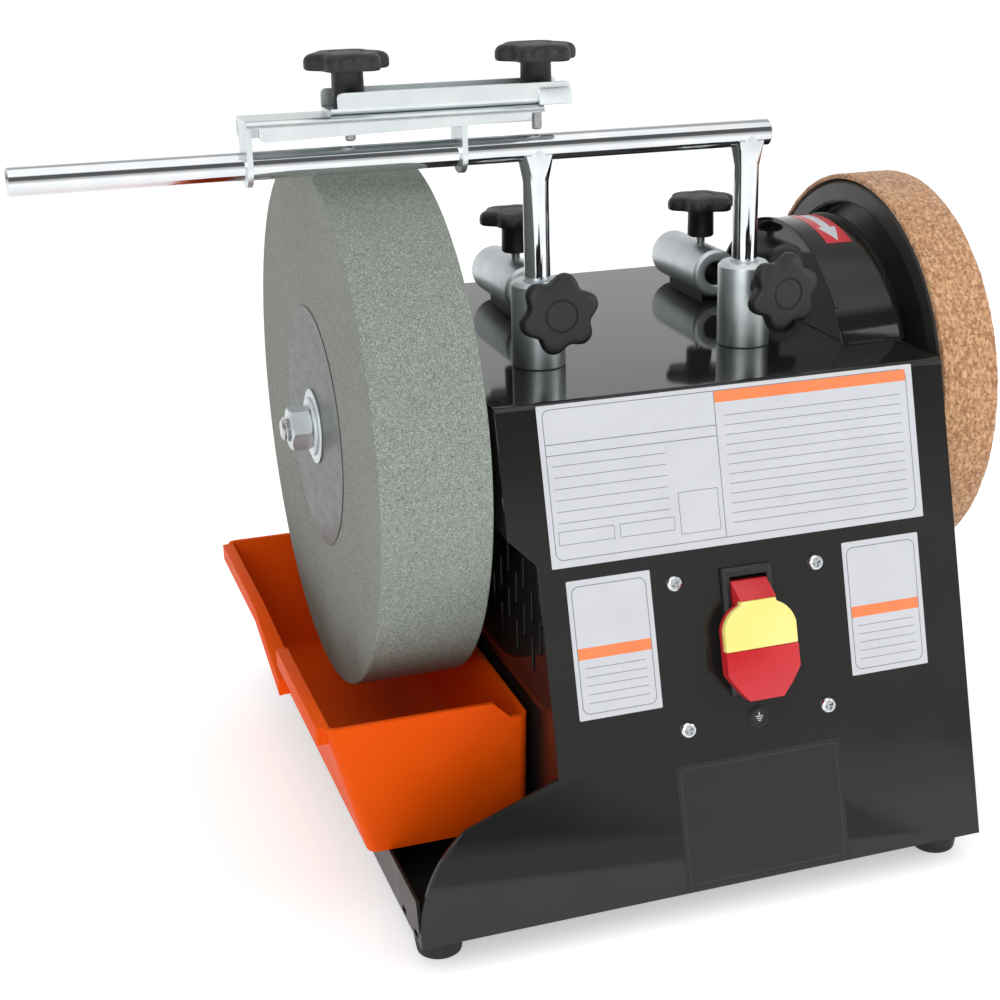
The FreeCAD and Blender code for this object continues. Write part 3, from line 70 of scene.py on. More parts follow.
# Places taken from the solids
X, Y, Z = Vector((1, 0, 0)), Vector((0, 1, 0)), Vector((0, 0, 1))
STONE_LOW, STONE_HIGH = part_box("grinding_stone")
SPINDLE_Z = (STONE_LOW[2] + STONE_HIGH[2]) / 2
TOP_LOW, TOP_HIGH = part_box("top_plate")
HOUSING_TOP = TOP_HIGH[2]
FRONT_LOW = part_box("front_panel")[0]


def linear(red, green, blue):
    """A colour given as it looks on screen, as the shader wants it."""
    def channel(value):
        share = value / 255
        return share / 12.92 if share <= 0.04045 else ((share + 0.055) / 1.055) ** 2.4
    return channel(red), channel(green), channel(blue), 1.0


# Shader node groups

NOISE_LOW, NOISE_HIGH = 0.3, 0.7


def new_group(name, inputs, outputs):
    group = bpy.data.node_groups.new(name, "ShaderNodeTree")
    for socket, kind, value in inputs:
        made = group.interface.new_socket(socket, in_out="INPUT", socket_type=kind)
        made.default_value = value
    for socket, kind in outputs:
        group.interface.new_socket(socket, in_out="OUTPUT", socket_type=kind)
    nodes = group.nodes
    return group, nodes, group.links, nodes.new("NodeGroupInput"), nodes.new("NodeGroupOutput")


def noise_between(made, place, detail, roughness):
    """Noise at a place, spread from a new group's Low to its High as its Value."""
    group, nodes, links, given, put = made
    noise = nodes.new("ShaderNodeTexNoise")
    noise.inputs["Detail"].default_value = detail
    noise.inputs["Roughness"].default_value = roughness
    spread = nodes.new("ShaderNodeMapRange")
    spread.inputs["From Min"].default_value = NOISE_LOW
    spread.inputs["From Max"].default_value = NOISE_HIGH
    links.new(place, noise.inputs["Vector"])
    links.new(given.outputs["Scale"], noise.inputs["Scale"])
    links.new(noise.outputs["Fac"], spread.inputs["Value"])
    links.new(given.outputs["Low"], spread.inputs["To Min"])
    links.new(given.outputs["High"], spread.inputs["To Max"])
    links.new(spread.outputs["Result"], put.inputs["Value"])
    return group


def patches_group():
    """A soft cloudy value between Low and High."""
    made = new_group(
        "patches",
        [("Scale", "NodeSocketFloat", 40.0), ("Low", "NodeSocketFloat", 0.0),
         ("High", "NodeSocketFloat", 1.0)],
        [("Value", "NodeSocketFloat")],
    )
    nodes = made[1]
    place = nodes.new("ShaderNodeTexCoord")
    return noise_between(made, place.outputs["Object"], detail=4.0, roughness=0.5)


def grains_group():
    """Separate small grains: a mask that is white in a share of the cells."""
    group, nodes, links, given, put = new_group(
        "grains",
        [("Scale", "NodeSocketFloat", 900.0), ("Share", "NodeSocketFloat", 0.3)],
        [("Mask", "NodeSocketFloat"), ("Tone", "NodeSocketFloat")],
    )
    place = nodes.new("ShaderNodeTexCoord")
    cells = nodes.new("ShaderNodeTexVoronoi")
    split = nodes.new("ShaderNodeSeparateColor")
    below = nodes.new("ShaderNodeMath")
    below.operation = "LESS_THAN"
    links.new(place.outputs["Object"], cells.inputs["Vector"])
    links.new(given.outputs["Scale"], cells.inputs["Scale"])
    links.new(cells.outputs["Color"], split.inputs["Color"])
    links.new(split.outputs["Red"], below.inputs[0])
    links.new(given.outputs["Share"], below.inputs[1])
    links.new(below.outputs["Value"], put.inputs["Mask"])
    links.new(split.outputs["Green"], put.inputs["Tone"])
    return group


def fibres_group():
    """Streaks along one direction, such as drawing marks or leather fibres."""
    made = new_group(
        "fibres",
        [("Scale", "NodeSocketFloat", 300.0), ("Stretch", "NodeSocketVector", (1.0, 1.0, 0.1)),
         ("Low", "NodeSocketFloat", 0.0), ("High", "NodeSocketFloat", 1.0)],
        [("Value", "NodeSocketFloat")],
    )
    _, nodes, links, given, _ = made
    place = nodes.new("ShaderNodeTexCoord")
    stretch = nodes.new("ShaderNodeVectorMath")
    stretch.operation = "MULTIPLY"
    links.new(place.outputs["Object"], stretch.inputs[0])
    links.new(given.outputs["Stretch"], stretch.inputs[1])
    return noise_between(made, stretch.outputs["Vector"], detail=6.0, roughness=0.65)


PATCHES = patches_group()
GRAINS = grains_group()
FIBRES = fibres_group()


# Finishes

PEEL_STRENGTH = 0.3
STREAK_SCALE = 400.0
METAL_CLOUDS = 60.0
FILM_PEEL = (900.0, 0.01 * MM)


class Finish:
    """A material under way: its shader, and the node groups that feed it."""

    def __init__(self, name, colour, **sockets):
        self.material = bpy.data.materials.new(name)
        self.material.use_nodes = True
        self.nodes = self.material.node_tree.nodes
        self.links = self.material.node_tree.links
        self.shader = self.nodes["Principled BSDF"]
        self.shader.inputs["Base Color"].default_value = colour
        self.material.diffuse_color = colour
        for socket, value in sockets.items():
            self.shader.inputs[socket.replace("_", " ")].default_value = value

    def place(self, group, **values):
        node = self.nodes.new("ShaderNodeGroup")
        node.node_tree = group
        for socket, value in values.items():
            node.inputs[socket].default_value = value
        return node

    def rough(self, scale, low, high):
        patches = self.place(PATCHES, Scale=scale, Low=low, High=high)
        self.links.new(patches.outputs["Value"], self.shader.inputs["Roughness"])
        return self

    def blend(self, mask, first, second):
        """A colour that goes from the first to the second with a mask; either may be a node's output."""
        mix = self.nodes.new("ShaderNodeMix")
        mix.data_type = "RGBA"
        self.links.new(mask, mix.inputs["Factor"])
        for socket, colour in ((mix.inputs[6], first), (mix.inputs[7], second)):
            if isinstance(colour, tuple):
                socket.default_value = colour
            else:
                self.links.new(colour, socket)
        return mix.outputs[2]

    def paint(self, colour):
        self.links.new(colour, self.shader.inputs["Base Color"])
        return self

    def bumpy(self, height, strength, depth):
        bump = self.nodes.new("ShaderNodeBump")
        bump.inputs["Strength"].default_value = strength
        bump.inputs["Distance"].default_value = depth
        self.links.new(height, bump.inputs["Height"])
        self.links.new(bump.outputs["Normal"], self.shader.inputs["Normal"])
        return self


def cloudy_finish(name, colour, other, clouds, rough, peel, **sockets):
    """A moulded or painted surface: two close tones, uneven gloss and a faint orange peel."""
    finish = Finish(name, colour, **sockets).rough(clouds * 2, *rough)
    tone = finish.place(PATCHES, Scale=clouds, Low=0.0, High=1.0)
    finish.paint(finish.blend(tone.outputs["Value"], colour, other))
    scale, depth = peel
    peel = finish.place(PATCHES, Scale=scale, Low=0.0, High=1.0)
    return finish.bumpy(peel.outputs["Value"], PEEL_STRENGTH, depth).material


def film(name, colour, other, rough=(0.3, 0.38), clouds=60.0):
    """A thin printed film."""
    return cloudy_finish(name, colour, other, clouds, rough, FILM_PEEL)


def drawn_metal(name, colour, other, rough, stretch=(1.0, 1.0, 1.0)):
    """Plated or drawn metal: faint streaks in tone and gloss."""
    finish = Finish(name, colour, Metallic=1.0)
    low, high = rough
    streaks = finish.place(FIBRES, Scale=STREAK_SCALE, Stretch=stretch, Low=low, High=high)
    finish.links.new(streaks.outputs["Value"], finish.shader.inputs["Roughness"])
    tone = finish.place(PATCHES, Scale=METAL_CLOUDS, Low=0.0, High=1.0)
    finish.paint(finish.blend(tone.outputs["Value"], colour, other))
    return finish.material


def stone_finish(name, low, high, dark_grain, light_grain):
    """Bonded grit: a cloudy ground with dark and light grains in it."""
    finish = Finish(name, low, Specular_IOR_Level=0.2).rough(60.0, 0.82, 0.95)
    clouds = finish.place(PATCHES, Scale=18.0, Low=0.0, High=1.0)
    ground = finish.blend(clouds.outputs["Value"], low, high)
    grit = finish.place(GRAINS, Scale=2400.0, Share=0.55)
    salted = finish.blend(grit.outputs["Tone"], dark_grain, light_grain)
    finish.paint(finish.blend(grit.outputs["Mask"], ground, salted))
    return finish.bumpy(grit.outputs["Tone"], 0.2, 0.1 * MM).material


def leather_finish():
    """Suede: short light hairs over a mottled tan, with soft dark nap between them."""
    finish = Finish("suede_leather", linear(197, 148, 104), Specular_IOR_Level=0.2, Sheen_Weight=0.3)
    finish.rough(200.0, 0.8, 0.95)
    clouds = finish.place(PATCHES, Scale=90.0, Low=0.0, High=1.0)
    ground = finish.blend(clouds.outputs["Value"], linear(156, 102, 62), linear(204, 152, 108))
    hairs = finish.place(FIBRES, Scale=520.0, Stretch=(1.0, 0.5, 0.5), Low=-0.35, High=1.35)
    haired = finish.blend(hairs.outputs["Value"], ground, linear(232, 184, 140))
    nap = finish.place(PATCHES, Scale=620.0, Low=-0.6, High=0.9)
    finish.paint(finish.blend(nap.outputs["Value"], haired, linear(136, 88, 54)))
    return finish.bumpy(hairs.outputs["Value"], 0.7, 0.5 * MM).material


BLACK_PAINT = cloudy_finish(
    "gloss_black_paint", linear(27, 27, 26), linear(32, 32, 31), clouds=25.0, rough=(0.045, 0.075),
    peel=(500.0, 0.005 * MM), Specular_IOR_Level=0.4)
SATIN_BLACK = cloudy_finish(
    "satin_black_paint", linear(28, 28, 27), linear(34, 34, 33), clouds=25.0, rough=(0.28, 0.36),
    peel=(500.0, 0.01 * MM), Specular_IOR_Level=0.15)
RUBBER = cloudy_finish(
    "black_rubber", linear(24, 24, 24), linear(34, 33, 32), clouds=90.0, rough=(0.65, 0.8),
    peel=(900.0, 0.05 * MM))
ZINC = drawn_metal(
    "bright_zinc", linear(196, 204, 208), linear(214, 219, 219), rough=(0.16, 0.3))
SATIN_ZINC = drawn_metal(
    "satin_zinc", linear(196, 204, 207), linear(212, 218, 219), rough=(0.34, 0.48))
SHEET_ZINC = drawn_metal(
    "sheet_zinc", linear(212, 219, 222), linear(227, 232, 232), rough=(0.3, 0.42))
CUT_ZINC = drawn_metal(
    "cut_zinc", linear(206, 213, 216), linear(222, 227, 228), rough=(0.42, 0.6))
# Painted shade: a dark rough finish on the inside of the tubes' bores that stands in for the shade down a
# bore.
BORE_PAINTED_SHADE = cloudy_finish(
    "bore_painted_shade", linear(16, 17, 17), linear(26, 27, 27), clouds=150.0, rough=(0.5, 0.65),
    peel=(900.0, 0.02 * MM))
STEEL = drawn_metal(
    "bright_steel", linear(178, 180, 182), linear(204, 205, 206), rough=(0.18, 0.32),
    stretch=(1.0, 0.2, 0.2))
CHROME = drawn_metal(
    "polished_chrome", linear(214, 217, 220), linear(226, 228, 230), rough=(0.05, 0.11),
    stretch=(0.15, 1.0, 1.0))
KNOB_PLASTIC = cloudy_finish(
    "knob_plastic", linear(18, 18, 18), linear(25, 25, 25), clouds=120.0, rough=(0.42, 0.58),
    peel=(1200.0, 0.05 * MM))
STONE = stone_finish(
    "stone_rim", linear(128, 136, 128), linear(137, 145, 137), linear(93, 100, 93), linear(170, 178, 169))
STONE_FACE = stone_finish(
    "stone_face", linear(124, 129, 121), linear(136, 140, 132), linear(94, 98, 91), linear(162, 167, 159))
FOIL = drawn_metal(
    "plain_foil", linear(92, 94, 94), linear(104, 106, 106), rough=(0.36, 0.48), stretch=(1.0, 0.3, 1.0))
ORANGE = cloudy_finish(
    "orange_plastic", linear(224, 76, 0), linear(230, 84, 2), clouds=20.0, rough=(0.5, 0.6),
    peel=(700.0, 0.02 * MM), Specular_IOR_Level=0.08)
LEATHER = leather_finish()
STROP_BLACK = cloudy_finish(
    "strop_black", linear(42, 42, 41), linear(52, 52, 51), clouds=40.0, rough=(0.3, 0.42),
    peel=(600.0, 0.02 * MM))
BRONZE = drawn_metal(
    "sintered_bronze", linear(168, 126, 72), linear(186, 146, 92), rough=(0.35, 0.5))
ALLOY = drawn_metal(
    "cast_alloy", linear(168, 170, 172), linear(188, 190, 192), rough=(0.4, 0.55))
MOTOR_IRON = cloudy_finish(
    "motor_paint", linear(62, 64, 66), linear(72, 74, 76), clouds=50.0, rough=(0.45, 0.6),
    peel=(500.0, 0.05 * MM))
CAPACITOR = cloudy_finish(
    "capacitor_case", linear(214, 214, 208), linear(222, 222, 216), clouds=50.0, rough=(0.3, 0.4),
    peel=(500.0, 0.02 * MM))
SWITCH_BLACK = cloudy_finish(
    "switch_black", linear(26, 26, 26), linear(34, 34, 34), clouds=150.0, rough=(0.35, 0.5),
    peel=(1500.0, 0.03 * MM))
SWITCH_RED = cloudy_finish(
    "switch_red", linear(196, 30, 40), linear(206, 40, 48), clouds=60.0, rough=(0.26, 0.36),
    peel=(900.0, 0.02 * MM), Subsurface_Weight=0.1, Subsurface_Scale=0.002)
SWITCH_YELLOW = cloudy_finish(
    "switch_yellow", linear(250, 230, 126), linear(252, 236, 146), clouds=60.0, rough=(0.26, 0.36),
    peel=(900.0, 0.02 * MM), Subsurface_Weight=0.1, Subsurface_Scale=0.002)
RED_FILM = film("red_film", linear(196, 34, 48), linear(204, 42, 54), rough=(0.22, 0.3))
WHITE_FILM = film("white_film", linear(200, 202, 207), linear(205, 207, 212))
GREY_INK = film("grey_ink", linear(120, 122, 128), linear(134, 136, 142), rough=(0.35, 0.45), clouds=200.0)
ORANGE_BAND = film("orange_band", linear(240, 128, 76), linear(244, 136, 84))
DARK_FILM = film("dark_film", linear(20, 20, 20), linear(24, 24, 24), rough=(0.34, 0.42))
DARK_LINE = film("dark_film_line", linear(50, 49, 47), linear(58, 57, 55), rough=(0.34, 0.42))

SLOT_FINISH = {
    "black_paint": BLACK_PAINT, "feet_rubber": RUBBER, "zinc_plate": ZINC, "bright_steel": STEEL,
    "chrome_plate": CHROME, "knob_plastic": KNOB_PLASTIC, "grey_stone": STONE, "foil": FOIL,
    "trough_orange": ORANGE, "strop_leather_tan": LEATHER, "strop_black": STROP_BLACK, "bush_bronze": BRONZE,
    "wheel_alloy": ALLOY, "motor_iron": MOTOR_IRON, "capacitor_plastic": CAPACITOR,
    "switch_black": SWITCH_BLACK, "switch_red": SWITCH_RED, "switch_yellow": SWITCH_YELLOW,
}
NODE_FINISH = {
    "base_tray": SATIN_BLACK, "sleeve_pads": SATIN_BLACK,
    "jig_base": SHEET_ZINC, "jig_clamp_channel": SHEET_ZINC,
    "stone_nut": CUT_ZINC, "stone_outer_flange": CUT_ZINC, "strop_nut": CUT_ZINC, "strop_washer": CUT_ZINC,
}
NODE_SLOT = {row["node"]: row["material_slot"] for row in frame["record"]["subparts"]}
NODE_BODY = {}
for body, names in frame["record"]["behaviour"]["bodies"].items():
    for name in names:
        NODE_BODY[name] = body
for name, node in frame["nodes"].items():
    node.data.materials.clear()
    node.data.materials.append(NODE_FINISH.get(name, SLOT_FINISH[NODE_SLOT[name]]))


# Making and placing pieces


def add_piece(name, bm, body, finishes, replaced=(), smooth=SMOOTH_ANGLE):
    """Turns a bmesh into a piece that rides on a body and stands for the named solids."""
    for face in bm.faces:
        face.smooth = True
    for edge in bm.edges:
        edge.smooth = len(edge.link_faces) == 2 and edge.calc_face_angle(0.0) < smooth
    mesh = bpy.data.meshes.new(name)
    bm.to_mesh(mesh)
    bm.free()
    for finish in finishes:
        mesh.materials.append(finish)
    piece = bpy.data.objects.new(name, mesh)
    bpy.context.scene.collection.objects.link(piece)
    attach(piece, body)
    if replaced:
        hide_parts(*replaced)
    return piece


def stand_for(node, bm, smooth=SMOOTH_ANGLE):
    """Adds a bmesh in place of one solid, with that solid's body and finish."""
    slot = NODE_SLOT[node]
    finish = NODE_FINISH.get(node, SLOT_FINISH[slot])
    return add_piece(node + "_piece", bm, NODE_BODY[node], [finish], [node], smooth)


def pointing(direction, place):
    """A matrix that takes the local Z axis to a direction and the origin to a place."""
    turn = Vector(direction).to_track_quat("Z", "Y").to_matrix().to_4x4()
    return Matrix.Translation(Vector(place)) @ turn


def turned(profile, place, steps=ROUND_STEPS, closed=True):
    """Spins points of (radius, height) round the local Z axis and moves the result to its place."""
    bm = bmesh.new()
    verts = [bm.verts.new((radius, 0.0, height)) for radius, height in profile]
    edges = [bm.edges.new(pair) for pair in zip(verts, verts[1:])]
    if closed:
        edges.append(bm.edges.new((verts[-1], verts[0])))
    bmesh.ops.spin(
        bm, geom=verts + edges, cent=(0, 0, 0), axis=(0, 0, 1), angle=2 * math.pi, steps=steps,
        use_merge=True)
    bmesh.ops.remove_doubles(bm, verts=bm.verts, dist=MERGE)
    bmesh.ops.recalc_face_normals(bm, faces=bm.faces)
    bmesh.ops.transform(bm, matrix=place, verts=bm.verts)
    return bm


def bevel(bm, edges, width, segments):
    bmesh.ops.bevel(
        bm, geom=edges, offset=width, offset_type="OFFSET", affect="EDGES", segments=segments, profile=0.5,
        material=-1, clamp_overlap=True)


def bevel_sharp(bm, width, segments=2, angle=SMOOTH_ANGLE):
    sharp = [edge for edge in bm.edges if len(edge.link_faces) == 2 and edge.calc_face_angle(0.0) > angle]
    bevel(bm, sharp, width, segments)


def block(size, middle):
    """A box as a new bmesh."""
    bm = bmesh.new()
    bmesh.ops.create_cube(bm, size=1.0)
    bmesh.ops.scale(bm, vec=size, verts=bm.verts)
    bmesh.ops.translate(bm, vec=middle, verts=bm.verts)
    return bm


def join(bm, other):
    """Adds another bmesh to this one, and frees it."""
    mesh = bpy.data.meshes.new("joined")
    other.to_mesh(mesh)
    other.free()
    bm.from_mesh(mesh)
    bpy.data.meshes.remove(mesh)
    return bm


def merged_copy(*nodes):
    """The joined mesh of some solids, with the corners of its loose triangles merged."""
    bm = bmesh.new()
    for node in nodes:
        bm.from_mesh(frame["nodes"][node].data)
    bmesh.ops.remove_doubles(bm, verts=bm.verts, dist=MERGE)
    return bm


def softened(node, width, segments=2):
    """Adds a copy of a solid with its sharp edges rounded."""
    bm = merged_copy(node)
    bmesh.ops.dissolve_limit(bm, angle_limit=FLAT_ANGLE, verts=bm.verts, edges=bm.edges)
    bevel_sharp(bm, width, segments)
    return stand_for(node, bm)


def span(node, direction):
    """How far a solid reaches along a direction, lowest and highest."""
    reach = [vert.co.dot(direction) for vert in frame["nodes"][node].data.vertices]
    return min(reach), max(reach)


def axis_of(joint):
    """A joint's axis as a direction and a point on it."""
    row = next(row for row in frame["record"]["behaviour"]["joints"] if row["name"] == joint)
    return Vector(row["axis"]), Vector(row.get("pos_m", (0, 0, 0)))


def on_axis(point, direction, reach):
    """The point of an axis that lies at a reach along its direction."""
    return point + direction * (reach - point.dot(direction))


# Wheels and the spindle


def ring_profile(inner, outer, low, high, edge):
    """A ring's section with its outer edges rounded off in two facets."""
    turn = edge * (1 - math.sqrt(0.5))
    return [
        (inner, low), (outer - edge, low), (outer - turn, low + turn), (outer, low + edge),
        (outer, high - edge), (outer - turn, high - turn), (outer - edge, high), (inner, high),
    ]


def along_spindle(node):
    """The left and right end of a solid on the spindle, and its radius."""
    low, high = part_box(node)
    return low[0], high[0], (high[2] - low[2]) / 2


def spindle_place():
    return pointing(X, (0, 0, SPINDLE_Z))


BORE = 6.02 * MM
STONE_EDGE = 0.8 * MM
FOIL_EDGE = 0.1 * MM
SIDEWAYS = 0.9
left, right, radius = along_spindle("grinding_stone")
bm = turned(ring_profile(BORE, radius, left, right, STONE_EDGE), spindle_place(), WHEEL_STEPS)
for face in bm.faces:
    face.material_index = int(abs(face.normal.x) > SIDEWAYS)
add_piece("grinding_stone_piece", bm, "spindle_set", [STONE, STONE_FACE], ["grinding_stone"])
left, right, radius = along_spindle("stone_foil_disc")
foil = ring_profile(BORE, radius, left, right, FOIL_EDGE)
stand_for("stone_foil_disc", turned(foil, spindle_place(), WHEEL_STEPS))

WASHER_EDGE = 0.35 * MM
WASHER_STEP = 4 * MM
WASHER_SPLIT = 0.2 * MM


def washer_stack(node, outward):
    """Two washers, the smaller one under the nut."""
    left, right, radius = along_spindle(node)
    split = (left + right) / 2 - outward * WASHER_SPLIT
    nut_side = left if outward < 0 else right
    wheel_side = right if outward < 0 else left
    washers = []
    for reach, side in ((radius, wheel_side), (radius - WASHER_STEP, nut_side)):
        profile = ring_profile(BORE, reach, min(split, side), max(split, side), WASHER_EDGE)
        washers.append(turned(profile, spindle_place()))
    stand_for(node, join(*washers))


washer_stack("stone_outer_flange", -1)
washer_stack("strop_washer", 1)


THREAD_DEPTH = 0.55
THREAD_FOOT = 0.45
THREAD_CREST = 0.06
THREAD_STEPS = 24
CORE_DEPTH = 0.5
ROD_STEPS = 48


def thread(bm, radius, pitch, low, high, place):
    """A helical ridge between two heights, on a core that it sinks into."""
    inner = radius - THREAD_DEPTH * pitch
    foot = pitch * THREAD_FOOT
    crest = pitch * THREAD_CREST
    ridge = bmesh.new()
    section = [(inner, -foot), (radius, -crest), (radius, crest), (inner, foot)]
    verts = [ridge.verts.new((reach, 0.0, low + pitch / 2 + height)) for reach, height in section]
    edges = [ridge.edges.new(pair) for pair in zip(verts, verts[1:] + verts[:1])]
    start = ridge.faces.new(verts)
    turns = (high - low - pitch) / pitch
    steps = int(turns * THREAD_STEPS)
    bmesh.ops.spin(
        ridge, geom=[start] + verts + edges, cent=(0, 0, 0), axis=(0, 0, 1), angle=2 * math.pi * turns,
        dvec=(0, 0, turns * pitch / steps), steps=steps, use_merge=False)
    bmesh.ops.recalc_face_normals(ridge, faces=ridge.faces)
    bmesh.ops.transform(ridge, matrix=place, verts=ridge.verts)
    join(bm, ridge)


def threaded_rod(radius, pitch, low, high, place, threads):
    """A round rod, cut down to the thread's core along its threaded stretches."""
    chamfer = CORE_DEPTH * pitch
    core = radius - chamfer
    profile = [(0.0, low), (core - chamfer, low)]
    if threads[0][0] <= low:
        profile.append((core, low + chamfer))
    for start, end in threads:
        if start > low:
            profile += [(radius, start - chamfer), (core, start)]
        profile.append((core, end - chamfer if end >= high else end))
        if end < high:
            profile.append((radius, end + chamfer))
    profile += [(core - chamfer, high), (0.0, high)]
    bm = turned(profile, place, ROD_STEPS, closed=False)
    for start, end in threads:
        thread(bm, radius, pitch, start + chamfer / 2, end - chamfer / 2, place)
    return bm


SPINDLE_PITCH = 1.75 * MM
SPINDLE_THREAD = 17 * MM
left, right, radius = along_spindle("spindle")
spindle_threads = [(left, left + SPINDLE_THREAD), (right - SPINDLE_THREAD, right)]
stand_for("spindle", threaded_rod(radius, SPINDLE_PITCH, left, right, spindle_place(), spindle_threads))


LEATHER_ROWS = 14
LEATHER_STEPS = 320
LEATHER_ROUND = 0.7 * MM
LEATHER_EASE = 0.15 * MM
LEATHER_SIDE = 0.4 * MM
LEATHER_NEAR = 0.5 * MM
NAP_DEPTH = 0.25 * MM
NAP_RAGGED = 0.35 * MM
CORE_GAP = 0.02 * MM
CORE_RIM = 12 * MM
CORE_WEB = 10 * MM
CORE_HUB = 26 * MM
CORE_FALL = 1.2 * MM


def strop_leather():
    """The leather tyre, with a rough nap and slightly ragged edges."""
    left, right, radius = along_spindle("strop_leather")
    inner = along_spindle("strop_core")[2] + CORE_GAP
    step = (right - left) / LEATHER_ROWS
    profile = [(inner, left), (radius - LEATHER_ROUND, left), (radius - LEATHER_EASE, left + LEATHER_SIDE)]
    profile += [(radius, left + step * row) for row in range(1, LEATHER_ROWS)]
    profile += [(radius - LEATHER_EASE, right - LEATHER_SIDE), (radius - LEATHER_ROUND, right)]
    profile += [(inner, right)]
    leather = turned(profile, spindle_place(), LEATHER_STEPS)
    for vert in leather.verts:
        out = Vector((0, vert.co.y, vert.co.z - SPINDLE_Z))
        if out.length > inner + LEATHER_NEAR:
            vert.co -= out.normalized() * random.uniform(0, NAP_DEPTH)
            if min(abs(vert.co.x - left), abs(vert.co.x - right)) < LEATHER_NEAR:
                vert.co.x += math.copysign(random.uniform(0, NAP_RAGGED), (left + right) / 2 - vert.co.x)
    stand_for("strop_leather", leather)


def strop_core():
    """The moulded core: a rim and a hub, joined by a thinner web."""
    left, right, radius = along_spindle("strop_core")
    fall, hub = CORE_FALL, CORE_HUB
    rim = radius - CORE_RIM
    low_web = left + (right - left - CORE_WEB) / 2
    high_web = low_web + CORE_WEB
    profile = [
        (BORE, left), (hub - fall, left), (hub, left + fall), (hub, low_web - fall), (hub + fall, low_web),
        (rim - fall, low_web), (rim, low_web - fall), (rim, left + fall), (rim + fall, left),
        (radius - fall * 2, left), (radius, left + fall * 2), (radius, right - fall * 2),
        (radius - fall * 2, right), (rim + fall, right), (rim, right - fall), (rim, high_web + fall),
        (rim - fall, high_web), (hub + fall, high_web), (hub, high_web + fall), (hub, right - fall),
        (hub - fall, right), (BORE, right),
    ]
    stand_for("strop_core", turned(profile, spindle_place(), WHEEL_STEPS))


strop_leather()
strop_core()


# Tool support, sockets and sleeves


POST_EDGE = 0.25 * MM
BAR_CHAMFER = 1.0 * MM
SOCKET_CHAMFERS = (0.4 * MM, 2.0 * MM)
SLEEVE_CHAMFERS = (1.6 * MM, 1.6 * MM)


def support_bar():
    """The round bar, with a chamfer at each end."""
    low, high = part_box("support_bar")
    start, end = span("support_bar", X)
    radius = (high[2] - low[2]) / 2
    chamfer = BAR_CHAMFER
    profile = [
        (0, start), (radius - chamfer, start), (radius, start + chamfer), (radius, end - chamfer),
        (radius - chamfer, end), (0, end),
    ]
    place = pointing(X, (0, (low[1] + high[1]) / 2, (low[2] + high[2]) / 2))
    stand_for("support_bar", turned(profile, place, closed=False))


support_bar()
softened("support_post_left", POST_EDGE)
softened("support_post_right", POST_EDGE)

BAR_BORE = 6.08 * MM
BORE_LEAD = 0.8 * MM
BORE_NEAR = 0.1 * MM
TUBE_EDGE = 0.2 * MM
END_FACING = 0.5
TUBE_FINISHES = [SATIN_ZINC, CUT_ZINC, BORE_PAINTED_SHADE]


def bored_tube(node, direction, chamfers):
    """A tube with a chamfer outside at each end and a smaller one at the bore, whose inside is painted dark
    as shade.
    """
    low, high = (Vector(corner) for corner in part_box(node))
    middle = (low + high) / 2
    start, end = span(node, direction)
    radius = (high.x - low.x) / 2
    place = pointing(direction, middle - direction * middle.dot(direction))
    first, last = chamfers
    mouth = BAR_BORE + BORE_LEAD
    profile = [
        (mouth, start), (radius - first, start), (radius, start + first), (radius, end - last),
        (radius - last, end), (mouth, end), (BAR_BORE, end - BORE_LEAD), (BAR_BORE, start + BORE_LEAD),
    ]
    bm = turned(profile, place)
    bevel_sharp(bm, TUBE_EDGE)
    # Faces inside the bore take the painted shade finish, and end faces take the cut zinc.
    for face in bm.faces:
        off = face.calc_center_median() - middle
        if (off - direction * off.dot(direction)).length < BAR_BORE + BORE_NEAR:
            face.material_index = TUBE_FINISHES.index(BORE_PAINTED_SHADE)
        elif abs(face.normal.dot(direction)) > END_FACING:
            face.material_index = TUBE_FINISHES.index(CUT_ZINC)
    add_piece(node + "_piece", bm, NODE_BODY[node], TUBE_FINISHES, [node])


for side in ("left", "right"):
    bored_tube("socket_" + side, Z, SOCKET_CHAMFERS)
    bored_tube("sleeve_" + side, Y, SLEEVE_CHAMFERS)


# Star knobs and their studs
# The knob's sections are radius and height in millimetres, from its foot, the hub's end and the cap.

KNOB_FOOT = ((2.5, 0.0), (6.3, 0.0), (7.0, 0.7))
KNOB_STAR = (
    (6.8, -0.8), (7.4, 0.0), (12.0, 0.3), (17.7, 0.4), (18.3, 0.9), (18.5, 1.8), (18.5, 3.8), (18.2, 5.0),
    (17.5, 6.0), (16.4, 6.7), (14.8, 7.15), (11.5, 7.4),
)
KNOB_CAP = ((7.6, 0.0), (7.3, -0.5), (6.9, -0.5), (6.6, -0.1), (3.0, -0.1), (0.0, -0.1))
KNOB_REACH = 18.5 * MM
KNOB_ROUND = 9.5 * MM
KNOB_HEAD = 7.5 * MM
KNOB_SCALLOP = 0.21
KNOB_FULLNESS = 1.25
KNOB_LOBES = 6
KNOB_STEPS = 144
KNOB_SMOOTH = math.radians(50)
SOCKET_KNOB_TURN = math.radians(17)
STUD_RADIUS = 2.5 * MM
STUD_PITCH = 0.8 * MM


